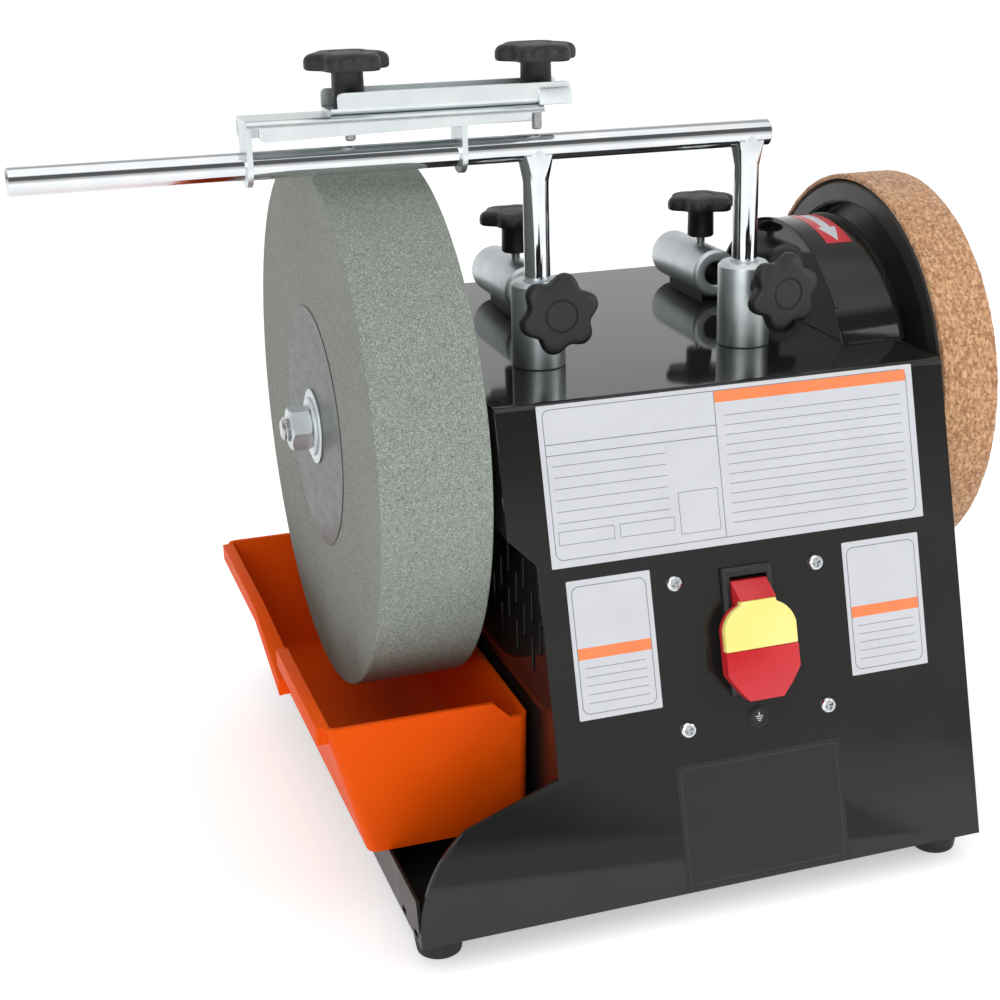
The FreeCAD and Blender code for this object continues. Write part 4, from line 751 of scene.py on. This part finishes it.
def star_knob(node, joint, turn):
    """A knob on its joint's axis, with its lobes turned by an angle."""
    direction, point = axis_of(joint)
    start, end = span(node, direction)
    profile = []
    for section, foot in ((KNOB_FOOT, 0.0), (KNOB_STAR, end - start - KNOB_HEAD), (KNOB_CAP, end - start)):
        profile += [(reach * MM, foot + rise * MM) for reach, rise in section]
    bm = turned(profile, Matrix.Identity(4), KNOB_STEPS, closed=False)
    for vert in bm.verts:
        reach = math.hypot(vert.co.x, vert.co.y)
        share = min(1.0, max(0.0, (reach - KNOB_ROUND) / (KNOB_REACH - KNOB_ROUND)))
        angle = math.atan2(vert.co.y, vert.co.x) - turn
        hollow = (0.5 - 0.5 * math.cos(KNOB_LOBES * angle)) ** KNOB_FULLNESS
        scale = 1 - KNOB_SCALLOP * share * hollow
        vert.co.x *= scale
        vert.co.y *= scale
    bmesh.ops.transform(bm, matrix=pointing(direction, on_axis(point, direction, start)), verts=bm.verts)
    stand_for(node, bm, KNOB_SMOOTH)


def stud(node, joint):
    direction, point = axis_of(joint)
    start, end = span(node, direction)
    place = pointing(direction, on_axis(point, direction, 0.0))
    stand_for(node, threaded_rod(STUD_RADIUS, STUD_PITCH, start, end, place, [(start, end)]))


for seat in ("socket", "sleeve", "jig"):
    for side in ("left", "right"):
        knob_turn = SOCKET_KNOB_TURN if seat == "socket" else 0.0
        star_knob(seat + "_" + side + "_knob", seat + "_" + side + "_turn", knob_turn)
        stud(seat + "_" + side + "_stud", seat + "_" + side + "_turn")


# Bent sheets of the jig

SHEET = 2.0 * MM
BEND = 1.0 * MM
BEND_SMOOTH = math.radians(46)
NEAR = 0.1 * MM
FLANGE_CORNER = 2.4 * MM
CORNER_STEPS = 5
SHEET_EDGE = 0.35 * MM
FLANGE_LOW = 19.0 * MM
FLANGE_INSET = 6.0 * MM
FLANGE_SHORT = 4.0 * MM
FLANGE_RISE = (1.2 * MM, 4.0 * MM)
CLAMP_INSET = 21.0 * MM
CLAMP_SHORT = 8.0 * MM
LIP_LENGTH = 15.0 * MM
LIP_OUT = 2.0 * MM
LIP_SINK = 0.6 * MM
LIP_GAP = 0.05 * MM
LIP_HEIGHT = 7.0 * MM
LIP_EDGE = 0.4 * MM


def bent_sheet(node, free_edge, trimmed):
    """A bent sheet of the jig, trimmed by a rule, with the corners of its free edges cut round."""
    bm = merged_copy(node)
    bmesh.ops.dissolve_limit(bm, angle_limit=FLAT_ANGLE, verts=bm.verts, edges=bm.edges)
    low, high = (Vector(corner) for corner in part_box(node))
    corners = []
    for edge in bm.edges:
        start, end = (vert.co - low for vert in edge.verts)
        across = abs(abs(start.y - end.y) - SHEET) < NEAR and abs(start.x - end.x) < NEAR
        if across and abs(start.z - free_edge) < NEAR and abs(end.z - free_edge) < NEAR:
            corners.append(edge)
    for vert in bm.verts:
        vert.co += trimmed(vert.co - low, high - low)
    bmesh.ops.remove_doubles(bm, verts=bm.verts, dist=MERGE)
    bevel(bm, corners, FLANGE_CORNER, CORNER_STEPS)
    bevel_sharp(bm, SHEET_EDGE, 2, BEND_SMOOTH)
    piece = stand_for(node, bm, BEND_SMOOTH)
    piece.modifiers.new("flat_flanges", "WEIGHTED_NORMAL").keep_sharp = True


def trimmed_base(place, size):
    """The front flange ends short of the right stud, and its lower edge rises to the right."""
    shift = Vector()
    if place.y < SHEET + BEND + NEAR and place.x > size.x - FLANGE_SHORT - FLANGE_INSET:
        shift.x = -FLANGE_SHORT
    if place.y < SHEET + NEAR and abs(place.z - FLANGE_LOW) < NEAR:
        shift.z = FLANGE_RISE[0] + (FLANGE_RISE[1] - FLANGE_RISE[0]) * place.x / size.x
    return shift


def trimmed_clamp(place, size):
    """The right end is cut square near the stud, with the front flange as long as the back one."""
    if place.x > size.x - NEAR:
        return Vector((-CLAMP_SHORT, 0, 0))
    front = place.y < SHEET + NEAR
    if front and abs(place.x - (size.x - CLAMP_INSET)) < NEAR:
        return Vector((CLAMP_INSET - CLAMP_SHORT, 0, 0))
    return Vector()


def clamp_lip():
    """The foot of the clamp's front flange, which stands forward at its right end."""
    low, high = (Vector(corner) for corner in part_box("jig_clamp_channel"))
    size = Vector((LIP_LENGTH, LIP_OUT + LIP_SINK, LIP_HEIGHT))
    corner = Vector((high.x - CLAMP_SHORT - LIP_GAP - LIP_LENGTH, low.y - LIP_OUT, low.z + LIP_GAP))
    bm = block(size, corner + size / 2)
    shoulders = []
    for edge in bm.edges:
        start, end = (vert.co - corner for vert in edge.verts)
        if min(start.z, end.z) > LIP_HEIGHT - NEAR and abs(start.y - end.y) > NEAR:
            shoulders.append(edge)
    bevel(bm, shoulders, FLANGE_CORNER, CORNER_STEPS)
    bevel_sharp(bm, LIP_EDGE, 3)
    add_piece("clamp_lip", bm, "jig_clamp", [SHEET_ZINC])


clamp_low, clamp_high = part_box("jig_clamp_channel")
bent_sheet("jig_base", FLANGE_LOW, trimmed_base)
bent_sheet("jig_clamp_channel", clamp_high[2] - clamp_low[2], trimmed_clamp)
clamp_lip()


# Housing, feet, trough and switch

DRUM_EDGE = 0.3 * MM
FOOT_EDGE = 1.0 * MM
GLAND_EDGE = 0.5 * MM
TROUGH_EDGE = 0.6 * MM
SWITCH_EDGE = 0.5 * MM
PADDLE_EDGE = 0.9 * MM
FRONT_WEB_Y = -119.0 * MM
NOTCH_WEB_Y = -32.2 * MM
NOTCH_LOW_Y = -30.2 * MM
NOTCH_LOW_Z = 85.2 * MM
SHORT_WEB = 4.4 * MM
LONG_WEB = 8.4 * MM
WEB_THICK = 1.8 * MM
WEB_TALL = 7.0 * MM
WEB_DROP = 5.0 * MM
WEB_INSET = 0.5 * MM
WEB_EDGE = 0.4 * MM


def housing_wrap():
    """Front, top and back as the one bent sheet that they are."""
    panels = ["front_panel", "top_plate", "back_panel"]
    bm = merged_copy(*panels)
    seams = (TOP_LOW[1], TOP_HIGH[1])
    inner = []
    for face in bm.faces:
        on_seam = any(abs(vert.co.y - seam) < MERGE for seam in seams for vert in face.verts)
        flat = all(min(abs(vert.co.y - seam) for seam in seams) < MERGE for vert in face.verts)
        if on_seam and flat:
            inner.append(face)
    bmesh.ops.delete(bm, geom=inner, context="FACES")
    bmesh.ops.dissolve_limit(bm, angle_limit=FLAT_ANGLE, verts=bm.verts, edges=bm.edges)
    bevel_sharp(bm, SHEET_EDGE)
    add_piece("housing_wrap", bm, "machine", [BLACK_PAINT], panels)


housing_wrap()
for node in ("base_tray", "left_wall", "right_wall", "trough_ledge"):
    softened(node, SHEET_EDGE)
softened("drum_cover", DRUM_EDGE)
softened("rubber_feet", FOOT_EDGE, 3)
softened("cord_gland", GLAND_EDGE)
softened("water_trough", TROUGH_EDGE, 3)


def lip_ends():
    """Webs that close the trough's lip at its ends, between the skirt and the wall."""
    low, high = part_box("water_trough")
    bm = bmesh.new()
    for y, top, width in ((FRONT_WEB_Y, high[2], SHORT_WEB), (NOTCH_WEB_Y, high[2], SHORT_WEB),
                          (NOTCH_LOW_Y, NOTCH_LOW_Z, LONG_WEB)):
        middle = (low[0] + WEB_INSET + width / 2, y, top - WEB_DROP)
        join(bm, block((width, WEB_THICK, WEB_TALL), middle))
    bevel_sharp(bm, WEB_EDGE)
    add_piece("trough_lip_ends", bm, "trough", [ORANGE])


lip_ends()
softened("switch_body", SWITCH_EDGE)
softened("switch_paddle", PADDLE_EDGE, 3)
softened("switch_key", PADDLE_EDGE, 3)


# Drum cover: rolled lips, weld line and the turning arrow

DRUM_LOW, DRUM_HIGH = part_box("drum_cover")
DRUM_RADIUS = DRUM_HIGH[2] - SPINDLE_Z
SEAM_END = math.radians(52.4)
SEAM_WIDTH = 2.2 * MM
SEAM_RISE = 0.5 * MM
SEAM_SINK = 0.1 * MM
SEAM_EASE = 0.25 * MM
WELD_RADIUS = 0.9 * MM
WELD_RISE = 0.3 * MM
WELD_SHORT = 5 * MM
WELD_STEPS = 16
FILM = 0.12 * MM
MARK_RISE = 1.5 * FILM
FILM_BENDS = range(-8, 26, 2)
ARROW_FILM_X = (118.5 * MM, 132.3 * MM)
ARROW_FILM_TURN = (-6.0, 23.8)
ARROW_X = 125.4 * MM
ARROW_SHAFT = 2.3 * MM
ARROW_HEAD = 5.0 * MM
ARROW_TAIL_TURN, ARROW_NECK_TURN, ARROW_TIP_TURN = -4.5, 12.6, 22.6


def on_drum(x, turn, rise=0.0):
    """A place on the drum, given how far it is turned from the top towards the front."""
    reach = DRUM_RADIUS + rise
    return Vector((x, -reach * math.sin(turn), SPINDLE_Z + reach * math.cos(turn)))


def drum_seam(name, left):
    """A lip rolled over one edge of the drum."""
    bm = bmesh.new()
    low, high = DRUM_RADIUS - SEAM_SINK, DRUM_RADIUS + SEAM_RISE
    right = left + SEAM_WIDTH
    section = [
        (left, low), (left, high - SEAM_EASE), (left + SEAM_EASE, high), (right - SEAM_EASE, high),
        (right, high - SEAM_EASE), (right, low),
    ]
    verts = [bm.verts.new((x, 0.0, SPINDLE_Z + reach)) for x, reach in section]
    face = bm.faces.new(verts)
    bmesh.ops.rotate(bm, verts=verts, cent=(0, 0, SPINDLE_Z), matrix=Matrix.Rotation(SEAM_END, 3, "X"))
    bmesh.ops.spin(
        bm, geom=[face], cent=(0, 0, SPINDLE_Z), axis=(1, 0, 0), angle=-2 * SEAM_END, steps=ROUND_STEPS)
    bmesh.ops.recalc_face_normals(bm, faces=bm.faces)
    add_piece(name, bm, "machine", [BLACK_PAINT])


def drum_weld():
    """The weld line where the front of the drum meets the top plate."""
    reach = math.sqrt(DRUM_RADIUS ** 2 - (HOUSING_TOP - SPINDLE_Z) ** 2)
    bm = bmesh.new()
    bmesh.ops.create_cone(
        bm, cap_ends=True, segments=WELD_STEPS, radius1=WELD_RADIUS, radius2=WELD_RADIUS,
        depth=DRUM_HIGH[0] - DRUM_LOW[0] - WELD_SHORT)
    middle = (DRUM_LOW[0] + DRUM_HIGH[0]) / 2
    bmesh.ops.transform(bm, matrix=pointing(X, (middle, -reach, HOUSING_TOP + WELD_RISE)), verts=bm.verts)
    add_piece("drum_weld", bm, "machine", [BLACK_PAINT])


def wrapped_on_drum(bm, rise):
    """Bends a flat outline, drawn as x and degrees from the top, round the drum as a thin film."""
    for degrees in FILM_BENDS:
        geom = bm.verts[:] + bm.edges[:] + bm.faces[:]
        bmesh.ops.bisect_plane(bm, geom=geom, plane_co=(0, degrees, 0), plane_no=(0, 1, 0))
    for vert in bm.verts:
        vert.co = on_drum(vert.co.x, math.radians(vert.co.y), rise)
    bmesh.ops.recalc_face_normals(bm, faces=bm.faces)
    if bm.faces[:][0].normal.dot(Z) < 0:
        bmesh.ops.reverse_faces(bm, faces=bm.faces)
    bmesh.ops.solidify(bm, geom=bm.faces[:], thickness=FILM)
    return bm


def turning_arrow():
    """A red film with a plain white arrow that shows which way the wheels turn."""
    left, right = ARROW_FILM_X
    back, front = ARROW_FILM_TURN
    corners = ((left, back), (right, back), (right, front), (left, front))
    film = bmesh.new()
    film.faces.new([film.verts.new((x, turn, 0)) for x, turn in corners])
    add_piece("arrow_film", wrapped_on_drum(film, FILM), "machine", [RED_FILM])
    shaft, head = ARROW_SHAFT, ARROW_HEAD
    tail, neck, tip = ARROW_TAIL_TURN, ARROW_NECK_TURN, ARROW_TIP_TURN
    corners = (
        (-shaft, tail), (shaft, tail), (shaft, neck), (head, neck), (0, tip), (-head, neck), (-shaft, neck))
    arrow = bmesh.new()
    arrow.faces.new([arrow.verts.new((ARROW_X + side, turn, 0)) for side, turn in corners])
    add_piece("arrow_mark", wrapped_on_drum(arrow, MARK_RISE), "machine", [WHITE_FILM])


drum_seam("drum_seam_left", DRUM_LOW[0])
drum_seam("drum_seam_right", DRUM_HIGH[0] - SEAM_WIDTH)
drum_weld()
turning_arrow()


# Plates on the front panel
# Places are left, right, top and bottom, in millimetres from the middle and down from the panel's top edge.
# Ruled lines are left, right, top, pitch and number.

PANEL_TOP_Y = -112 * MM
PANEL_TOP = Vector((0, PANEL_TOP_Y, HOUSING_TOP))
PANEL_DOWN = Vector((0, FRONT_LOW[1] - PANEL_TOP_Y, FRONT_LOW[2] - HOUSING_TOP)).normalized()
PANEL_OUT = Vector((0, PANEL_DOWN.z, -PANEL_DOWN.y))
ON_PANEL = Matrix.Translation(PANEL_TOP) @ Matrix((X, -PANEL_DOWN, PANEL_OUT)).transposed().to_4x4()
PRINT_RISE = 0.02 * MM
PLATE_FINISHES = [WHITE_FILM, GREY_INK, ORANGE_BAND, DARK_FILM, DARK_LINE]
WHITE, GREY, BAND, DARK, LINE = range(5)
GROUND_LAYER, FRAME_LAYER, PRINT_LAYER = 0, 1, 3
PLATE_CORNER = 0.6
FRAME_CORNER = 3.5
PATCH_STEPS = 6
INK = 0.4
FINE_INK = 0.3
RATING_PLATE = (-61.8, 121.8, 0.8, 72.0)
RATING_FRAME = (-59.5, 118.7, 2.6, 68.8)
RATING_MIDDLE = 21.6
RATING_BAND = 8.1
RATING_LINES = (17.8, 22.6)
RATING_BOXES = ((-57.4, -31.2, 56.1, 62.2), (-28.8, -2.6, 56.1, 62.2), (0.1, 19.4, 45.7, 64.7))
RATING_RULES = ((-57.0, -4.0, 27.4, 5.0, 6), (25.6, 114.7, 14.0, 4.4, 12))
LEFT_PLATE = (-56.3, -16.9, 78.2, 140.4)
RIGHT_PLATE = (78.2, 117.8, 79.0, 141.2)
SIDE_INSETS = (1.9, -2.2, 2.6, -2.4)
SIDE_BAND = 27.6
SIDE_BAND_TALL = 5.1
SIDE_RULES_INSETS = (3.1, -3.3)
SIDE_RULES_DOWN = 36.6
SIDE_RULES_PITCH = 3.9
SIDE_RULES_COUNT = 5
DARK_PLATE = (-13.6, 68.5, 168.4, 225.6)
DARK_INSETS = (2.0, -2.0, 2.0, -2.0)
DARK_CORNER = 1.5
DARK_INK = 0.35


def patch(bm, left, right, top, bottom, corner, layer, finish):
    """A flat patch of a plate, raised by its layer."""
    thickness = FILM + layer * PRINT_RISE
    middle = ((left + right) / 2 * MM, -(top + bottom) / 2 * MM, thickness / 2)
    one = block(((right - left) * MM, (bottom - top) * MM, thickness), middle)
    if corner:
        upright = [edge for edge in one.edges if abs(edge.verts[0].co.z - edge.verts[1].co.z) > thickness / 2]
        bevel(one, upright, corner * MM, PATCH_STEPS)
    for face in one.faces:
        face.material_index = finish
    join(bm, one)


def frame_line(bm, left, right, top, bottom, corner, line=INK, layer=FRAME_LAYER, ink=GREY, inside=WHITE):
    """A printed outline: a patch of ink with a smaller patch of the ground on top of it."""
    patch(bm, left, right, top, bottom, corner, layer, ink)
    inner = max(corner - line, 0)
    patch(bm, left + line, right - line, top + line, bottom - line, inner, layer + 1, inside)


def rules(bm, left, right, top, pitch, count):
    """Plain ruled lines, as on a blank form."""
    for row in range(count):
        place = top + row * pitch
        patch(bm, left, right, place, place + FINE_INK, 0, PRINT_LAYER, GREY)


def inset(place, shifts):
    """A place with each of its edges shifted."""
    return [edge + shift for edge, shift in zip(place, shifts)]


def add_plate(name, bm):
    bmesh.ops.transform(bm, matrix=ON_PANEL, verts=bm.verts)
    add_piece(name, bm, "machine", PLATE_FINISHES)


def rating_plate():
    """A wide plate in two halves, with a plain band over the right one and empty boxes in the left one."""
    bm = bmesh.new()
    left, right, top, bottom = RATING_FRAME
    middle = RATING_MIDDLE
    patch(bm, *RATING_PLATE, PLATE_CORNER, GROUND_LAYER, WHITE)
    frame_line(bm, *RATING_FRAME, FRAME_CORNER)
    patch(bm, middle - INK / 2, middle + INK / 2, top, bottom, 0, PRINT_LAYER, GREY)
    patch(bm, middle + INK / 2, right - INK, top + INK, RATING_BAND, 0, PRINT_LAYER, BAND)
    for place in RATING_LINES:
        patch(bm, left, middle, place, place + INK, 0, PRINT_LAYER, GREY)
    for box in RATING_BOXES:
        frame_line(bm, *box, 0, FINE_INK, PRINT_LAYER)
    for lines in RATING_RULES:
        rules(bm, *lines)
    add_plate("rating_plate", bm)


def side_plate(name, place):
    """A narrow plate with a plain band across its middle and ruled lines below it."""
    bm = bmesh.new()
    patch(bm, *place, PLATE_CORNER, GROUND_LAYER, WHITE)
    left, right, top, bottom = inset(place, SIDE_INSETS)
    frame_line(bm, left, right, top, bottom, FRAME_CORNER)
    band = top + SIDE_BAND
    patch(bm, left + INK, right - INK, band, band + SIDE_BAND_TALL, 0, PRINT_LAYER, BAND)
    ends = inset((left, right), SIDE_RULES_INSETS)
    rules(bm, *ends, top + SIDE_RULES_DOWN, SIDE_RULES_PITCH, SIDE_RULES_COUNT)
    add_plate(name, bm)


def dark_plate():
    """A bare dark plate with a fine line round it."""
    bm = bmesh.new()
    patch(bm, *DARK_PLATE, PLATE_CORNER, GROUND_LAYER, DARK)
    frame_line(bm, *inset(DARK_PLATE, DARK_INSETS), DARK_CORNER, DARK_INK, FRAME_LAYER, LINE, DARK)
    add_plate("dark_plate", bm)


rating_plate()
side_plate("left_plate", LEFT_PLATE)
side_plate("right_plate", RIGHT_PLATE)
dark_plate()


# Screws and the earth plug
# Places are in millimetres from the middle and down from the panel's top edge, and turns in degrees.

SCREWS = ((-6.0, 85.9, 40), (64.0, 85.9, 15), (64.0, 152.5, 20), (-6.0, 152.5, 25))
SCREW_HEAD_RISE = 2.3 * MM
SCREW_CROWN = 2.5 * MM
SCREW_STEPS = 48
SCREW_HEAD_SIDE = ((3.1, 1.95), (3.5, 1.4), (3.7, 0.7), (3.7, 0.0))
CROSS_ARM = 1.9 * MM
CROSS_WIDTH = 0.5 * MM
CROSS_DEPTH = 1.3 * MM
CROSS_TAPER = 0.7
PLUG_X, PLUG_DOWN = 29.0 * MM, 152.2 * MM
PLUG_RADIUS = 5.0 * MM
PLUG_RISE = 0.7 * MM
PLUG_EASE = 0.3 * MM
PLUG_RING = ((3.5, 0.0), (3.7, 0.4), (4.1, 0.4), (4.3, 0.0))
PLUG_BARS = ((3.6, 0.45, 0.4), (2.6, 0.45, -0.6), (1.4, 0.45, -1.6), (0.5, 1.8, 1.4))
PLUG_BAR_THICK = 0.8 * MM


def cross_outline():
    """The twelve corners of a cross recess."""
    arm, half = CROSS_ARM, CROSS_WIDTH
    corners = []
    for turn in range(4):
        swing = Matrix.Rotation(turn * math.pi / 2, 2)
        for point in ((arm, -half), (arm, half), (half, half)):
            corner = swing @ Vector(point)
            corners.append((corner.x, corner.y))
    return corners


def cross_head_screw(turn):
    """A pan head with a cross recess, standing on z = 0."""
    bm = bmesh.new()
    cross = [bm.verts.new((x, y, SCREW_HEAD_RISE)) for x, y in cross_outline()]
    cross_edges = [bm.edges.new(pair) for pair in zip(cross, cross[1:] + cross[:1])]
    crown = bmesh.ops.create_circle(
        bm, segments=SCREW_STEPS, radius=SCREW_CROWN,
        matrix=Matrix.Translation((0, 0, SCREW_HEAD_RISE)))["verts"]
    crown_edges = list({edge for vert in crown for edge in vert.link_edges})
    bmesh.ops.triangle_fill(bm, edges=cross_edges + crown_edges, use_beauty=True, normal=(0, 0, 1))
    floor = bmesh.ops.extrude_edge_only(bm, edges=cross_edges)["geom"]
    floor_verts = [item for item in floor if isinstance(item, bmesh.types.BMVert)]
    bmesh.ops.translate(bm, vec=(0, 0, -CROSS_DEPTH), verts=floor_verts)
    bmesh.ops.scale(bm, vec=(CROSS_TAPER, CROSS_TAPER, 1.0), verts=floor_verts)
    floor_edges = [item for item in floor if isinstance(item, bmesh.types.BMEdge)]
    bmesh.ops.triangle_fill(bm, edges=floor_edges, use_beauty=True, normal=(0, 0, 1))
    rim = crown_edges
    for reach, height in SCREW_HEAD_SIDE:
        grown = bmesh.ops.extrude_edge_only(bm, edges=rim)["geom"]
        rim = [item for item in grown if isinstance(item, bmesh.types.BMEdge)]
        for vert in {vert for edge in rim for vert in edge.verts}:
            out = Vector((vert.co.x, vert.co.y)).normalized() * reach * MM
            vert.co = (out.x, out.y, height * MM)
    bmesh.ops.holes_fill(bm, edges=rim, sides=0)
    bmesh.ops.recalc_face_normals(bm, faces=bm.faces)
    bmesh.ops.rotate(bm, verts=bm.verts, cent=(0, 0, 0), matrix=Matrix.Rotation(turn, 3, "Z"))
    return bm


def panel_screws():
    bm = bmesh.new()
    for x, down, turn in SCREWS:
        screw = cross_head_screw(math.radians(turn))
        bmesh.ops.translate(screw, vec=(x * MM, -down * MM, 0), verts=screw.verts)
        join(bm, screw)
    bmesh.ops.transform(bm, matrix=ON_PANEL, verts=bm.verts)
    stand_for("panel_screws", bm)


def earth_plug():
    """A plastic plug with a raised ring and four pale bars."""
    place = ON_PANEL @ Matrix.Translation((PLUG_X, -PLUG_DOWN, 0))
    radius, rise, ease = PLUG_RADIUS, PLUG_RISE, PLUG_EASE
    body = [(0, 0), (radius, 0), (radius, rise - ease), (radius - ease, rise), (0, rise)]
    bm = turned(body, place, closed=False)
    join(bm, turned([(reach * MM, rise + height * MM) for reach, height in PLUG_RING], place))
    for width, tall, up in PLUG_BARS:
        bar = block((width * MM, tall * MM, PLUG_BAR_THICK), (0, up * MM, rise))
        bmesh.ops.transform(bar, matrix=place, verts=bar.verts)
        for face in bar.faces:
            face.material_index = 1
        join(bm, bar)
    slot = NODE_SLOT["earth_plug"]
    finishes = [SLOT_FINISH[slot], WHITE_FILM]
    add_piece("earth_plug_piece", bm, NODE_BODY["earth_plug"], finishes, ["earth_plug"])


panel_screws()
earth_plug()


# Studio
# The air is light by height of direction; a lamp is its name, place, aim, size and power.

AIR_STRENGTH = 2.0
CAMERA_SIDE_AIR = ((0.0, 0.66), (0.15, 0.68), (0.27, 0.12), (0.7, 0.12), (0.76, 1.3), (1.0, 1.3))
BACK_AIR = ((0.0, 1.0), (0.35, 0.9), (0.6, 0.5), (0.85, 0.5), (0.92, 1.3), (1.0, 1.3))
AIR_BLEND = 0.3
LAMPS = (
    ("front_softbox", (-0.9, -1.6, 1.0), (0.0, 0.0, 0.2), 1.2, 13.0),
    ("right_softbox", (1.2, -0.9, 0.8), (0.0, 0.0, 0.25), 0.8, 5.5),
)
FLOOR_REACH = 40.0
FLOOR_GLOW = 0.45


def studio_air():
    """White air: bright overhead and behind the machine, dimmer on the camera's side."""
    world = bpy.data.worlds.new("studio_air")
    world.use_nodes = True
    nodes, links = world.node_tree.nodes, world.node_tree.links
    background = nodes["Background"]
    background.inputs["Strength"].default_value = AIR_STRENGTH
    place = nodes.new("ShaderNodeTexCoord")
    split = nodes.new("ShaderNodeSeparateXYZ")
    links.new(place.outputs["Generated"], split.inputs["Vector"])
    ahead = nodes.new("ShaderNodeVectorMath")
    ahead.operation = "DOT_PRODUCT"
    ahead.inputs[1].default_value = (math.sin(CAMERA_YAW), math.cos(CAMERA_YAW), 0.0)
    links.new(place.outputs["Generated"], ahead.inputs[0])
    side = nodes.new("ShaderNodeMapRange")
    side.inputs["From Min"].default_value = -AIR_BLEND
    side.inputs["From Max"].default_value = AIR_BLEND
    links.new(ahead.outputs["Value"], side.inputs["Value"])
    blend = nodes.new("ShaderNodeMix")
    blend.data_type = "RGBA"
    links.new(side.outputs["Result"], blend.inputs["Factor"])
    for stops, socket in ((CAMERA_SIDE_AIR, blend.inputs[6]), (BACK_AIR, blend.inputs[7])):
        ramp = nodes.new("ShaderNodeValToRGB")
        while len(ramp.color_ramp.elements) < len(stops):
            ramp.color_ramp.elements.new(0.5)
        for element, (height, light) in zip(ramp.color_ramp.elements, stops):
            element.position = height
            share = light / AIR_STRENGTH
            element.color = (share, share, share, 1.0)
        links.new(split.outputs["Z"], ramp.inputs["Fac"])
        links.new(ramp.outputs["Color"], socket)
    links.new(blend.outputs[2], background.inputs["Color"])
    return world


def studio():
    scene = bpy.context.scene
    scene.view_settings.view_transform = "Standard"
    eye = bpy.data.cameras.new("photo_camera")
    eye.lens = LENS
    eye.sensor_width = SENSOR
    eye.shift_x, eye.shift_y = SHIFT
    camera = bpy.data.objects.new("photo_camera", eye)
    flat = math.cos(CAMERA_PITCH)
    ahead = Vector((math.sin(CAMERA_YAW) * flat, math.cos(CAMERA_YAW) * flat, -math.sin(CAMERA_PITCH)))
    level = Vector((math.cos(CAMERA_YAW), -math.sin(CAMERA_YAW), 0))
    upright = level.cross(ahead)
    right = math.cos(CAMERA_ROLL) * level + math.sin(CAMERA_ROLL) * upright
    up = math.cos(CAMERA_ROLL) * upright - math.sin(CAMERA_ROLL) * level
    turn = Matrix((right, up, -ahead)).transposed().to_4x4()
    camera.matrix_world = Matrix.Translation(CAMERA_PLACE) @ turn
    scene.collection.objects.link(camera)
    scene.camera = camera
    scene.world = studio_air()
    for name, place, aim, size, power in LAMPS:
        light = bpy.data.lights.new(name, "AREA")
        light.shape = "SQUARE"
        light.size = size
        light.energy = power
        lamp = bpy.data.objects.new(name, light)
        lamp.location = place
        lamp.rotation_euler = (Vector(aim) - Vector(place)).to_track_quat("-Z", "Y").to_euler()
        scene.collection.objects.link(lamp)
    bm = bmesh.new()
    bmesh.ops.create_grid(bm, x_segments=1, y_segments=1, size=FLOOR_REACH)
    mesh = bpy.data.meshes.new("studio_floor")
    bm.to_mesh(mesh)
    bm.free()
    floor = bpy.data.objects.new("studio_floor", mesh)
    pale = Finish("studio_floor_white", (0.8, 0.8, 0.8, 1.0), Emission_Strength=FLOOR_GLOW)
    pale.rough(3.0, 0.7, 0.8)
    pale.shader.inputs["Emission Color"].default_value = (1.0, 1.0, 1.0, 1.0)
    mesh.materials.append(pale.material)
    scene.collection.objects.link(floor)


studio()
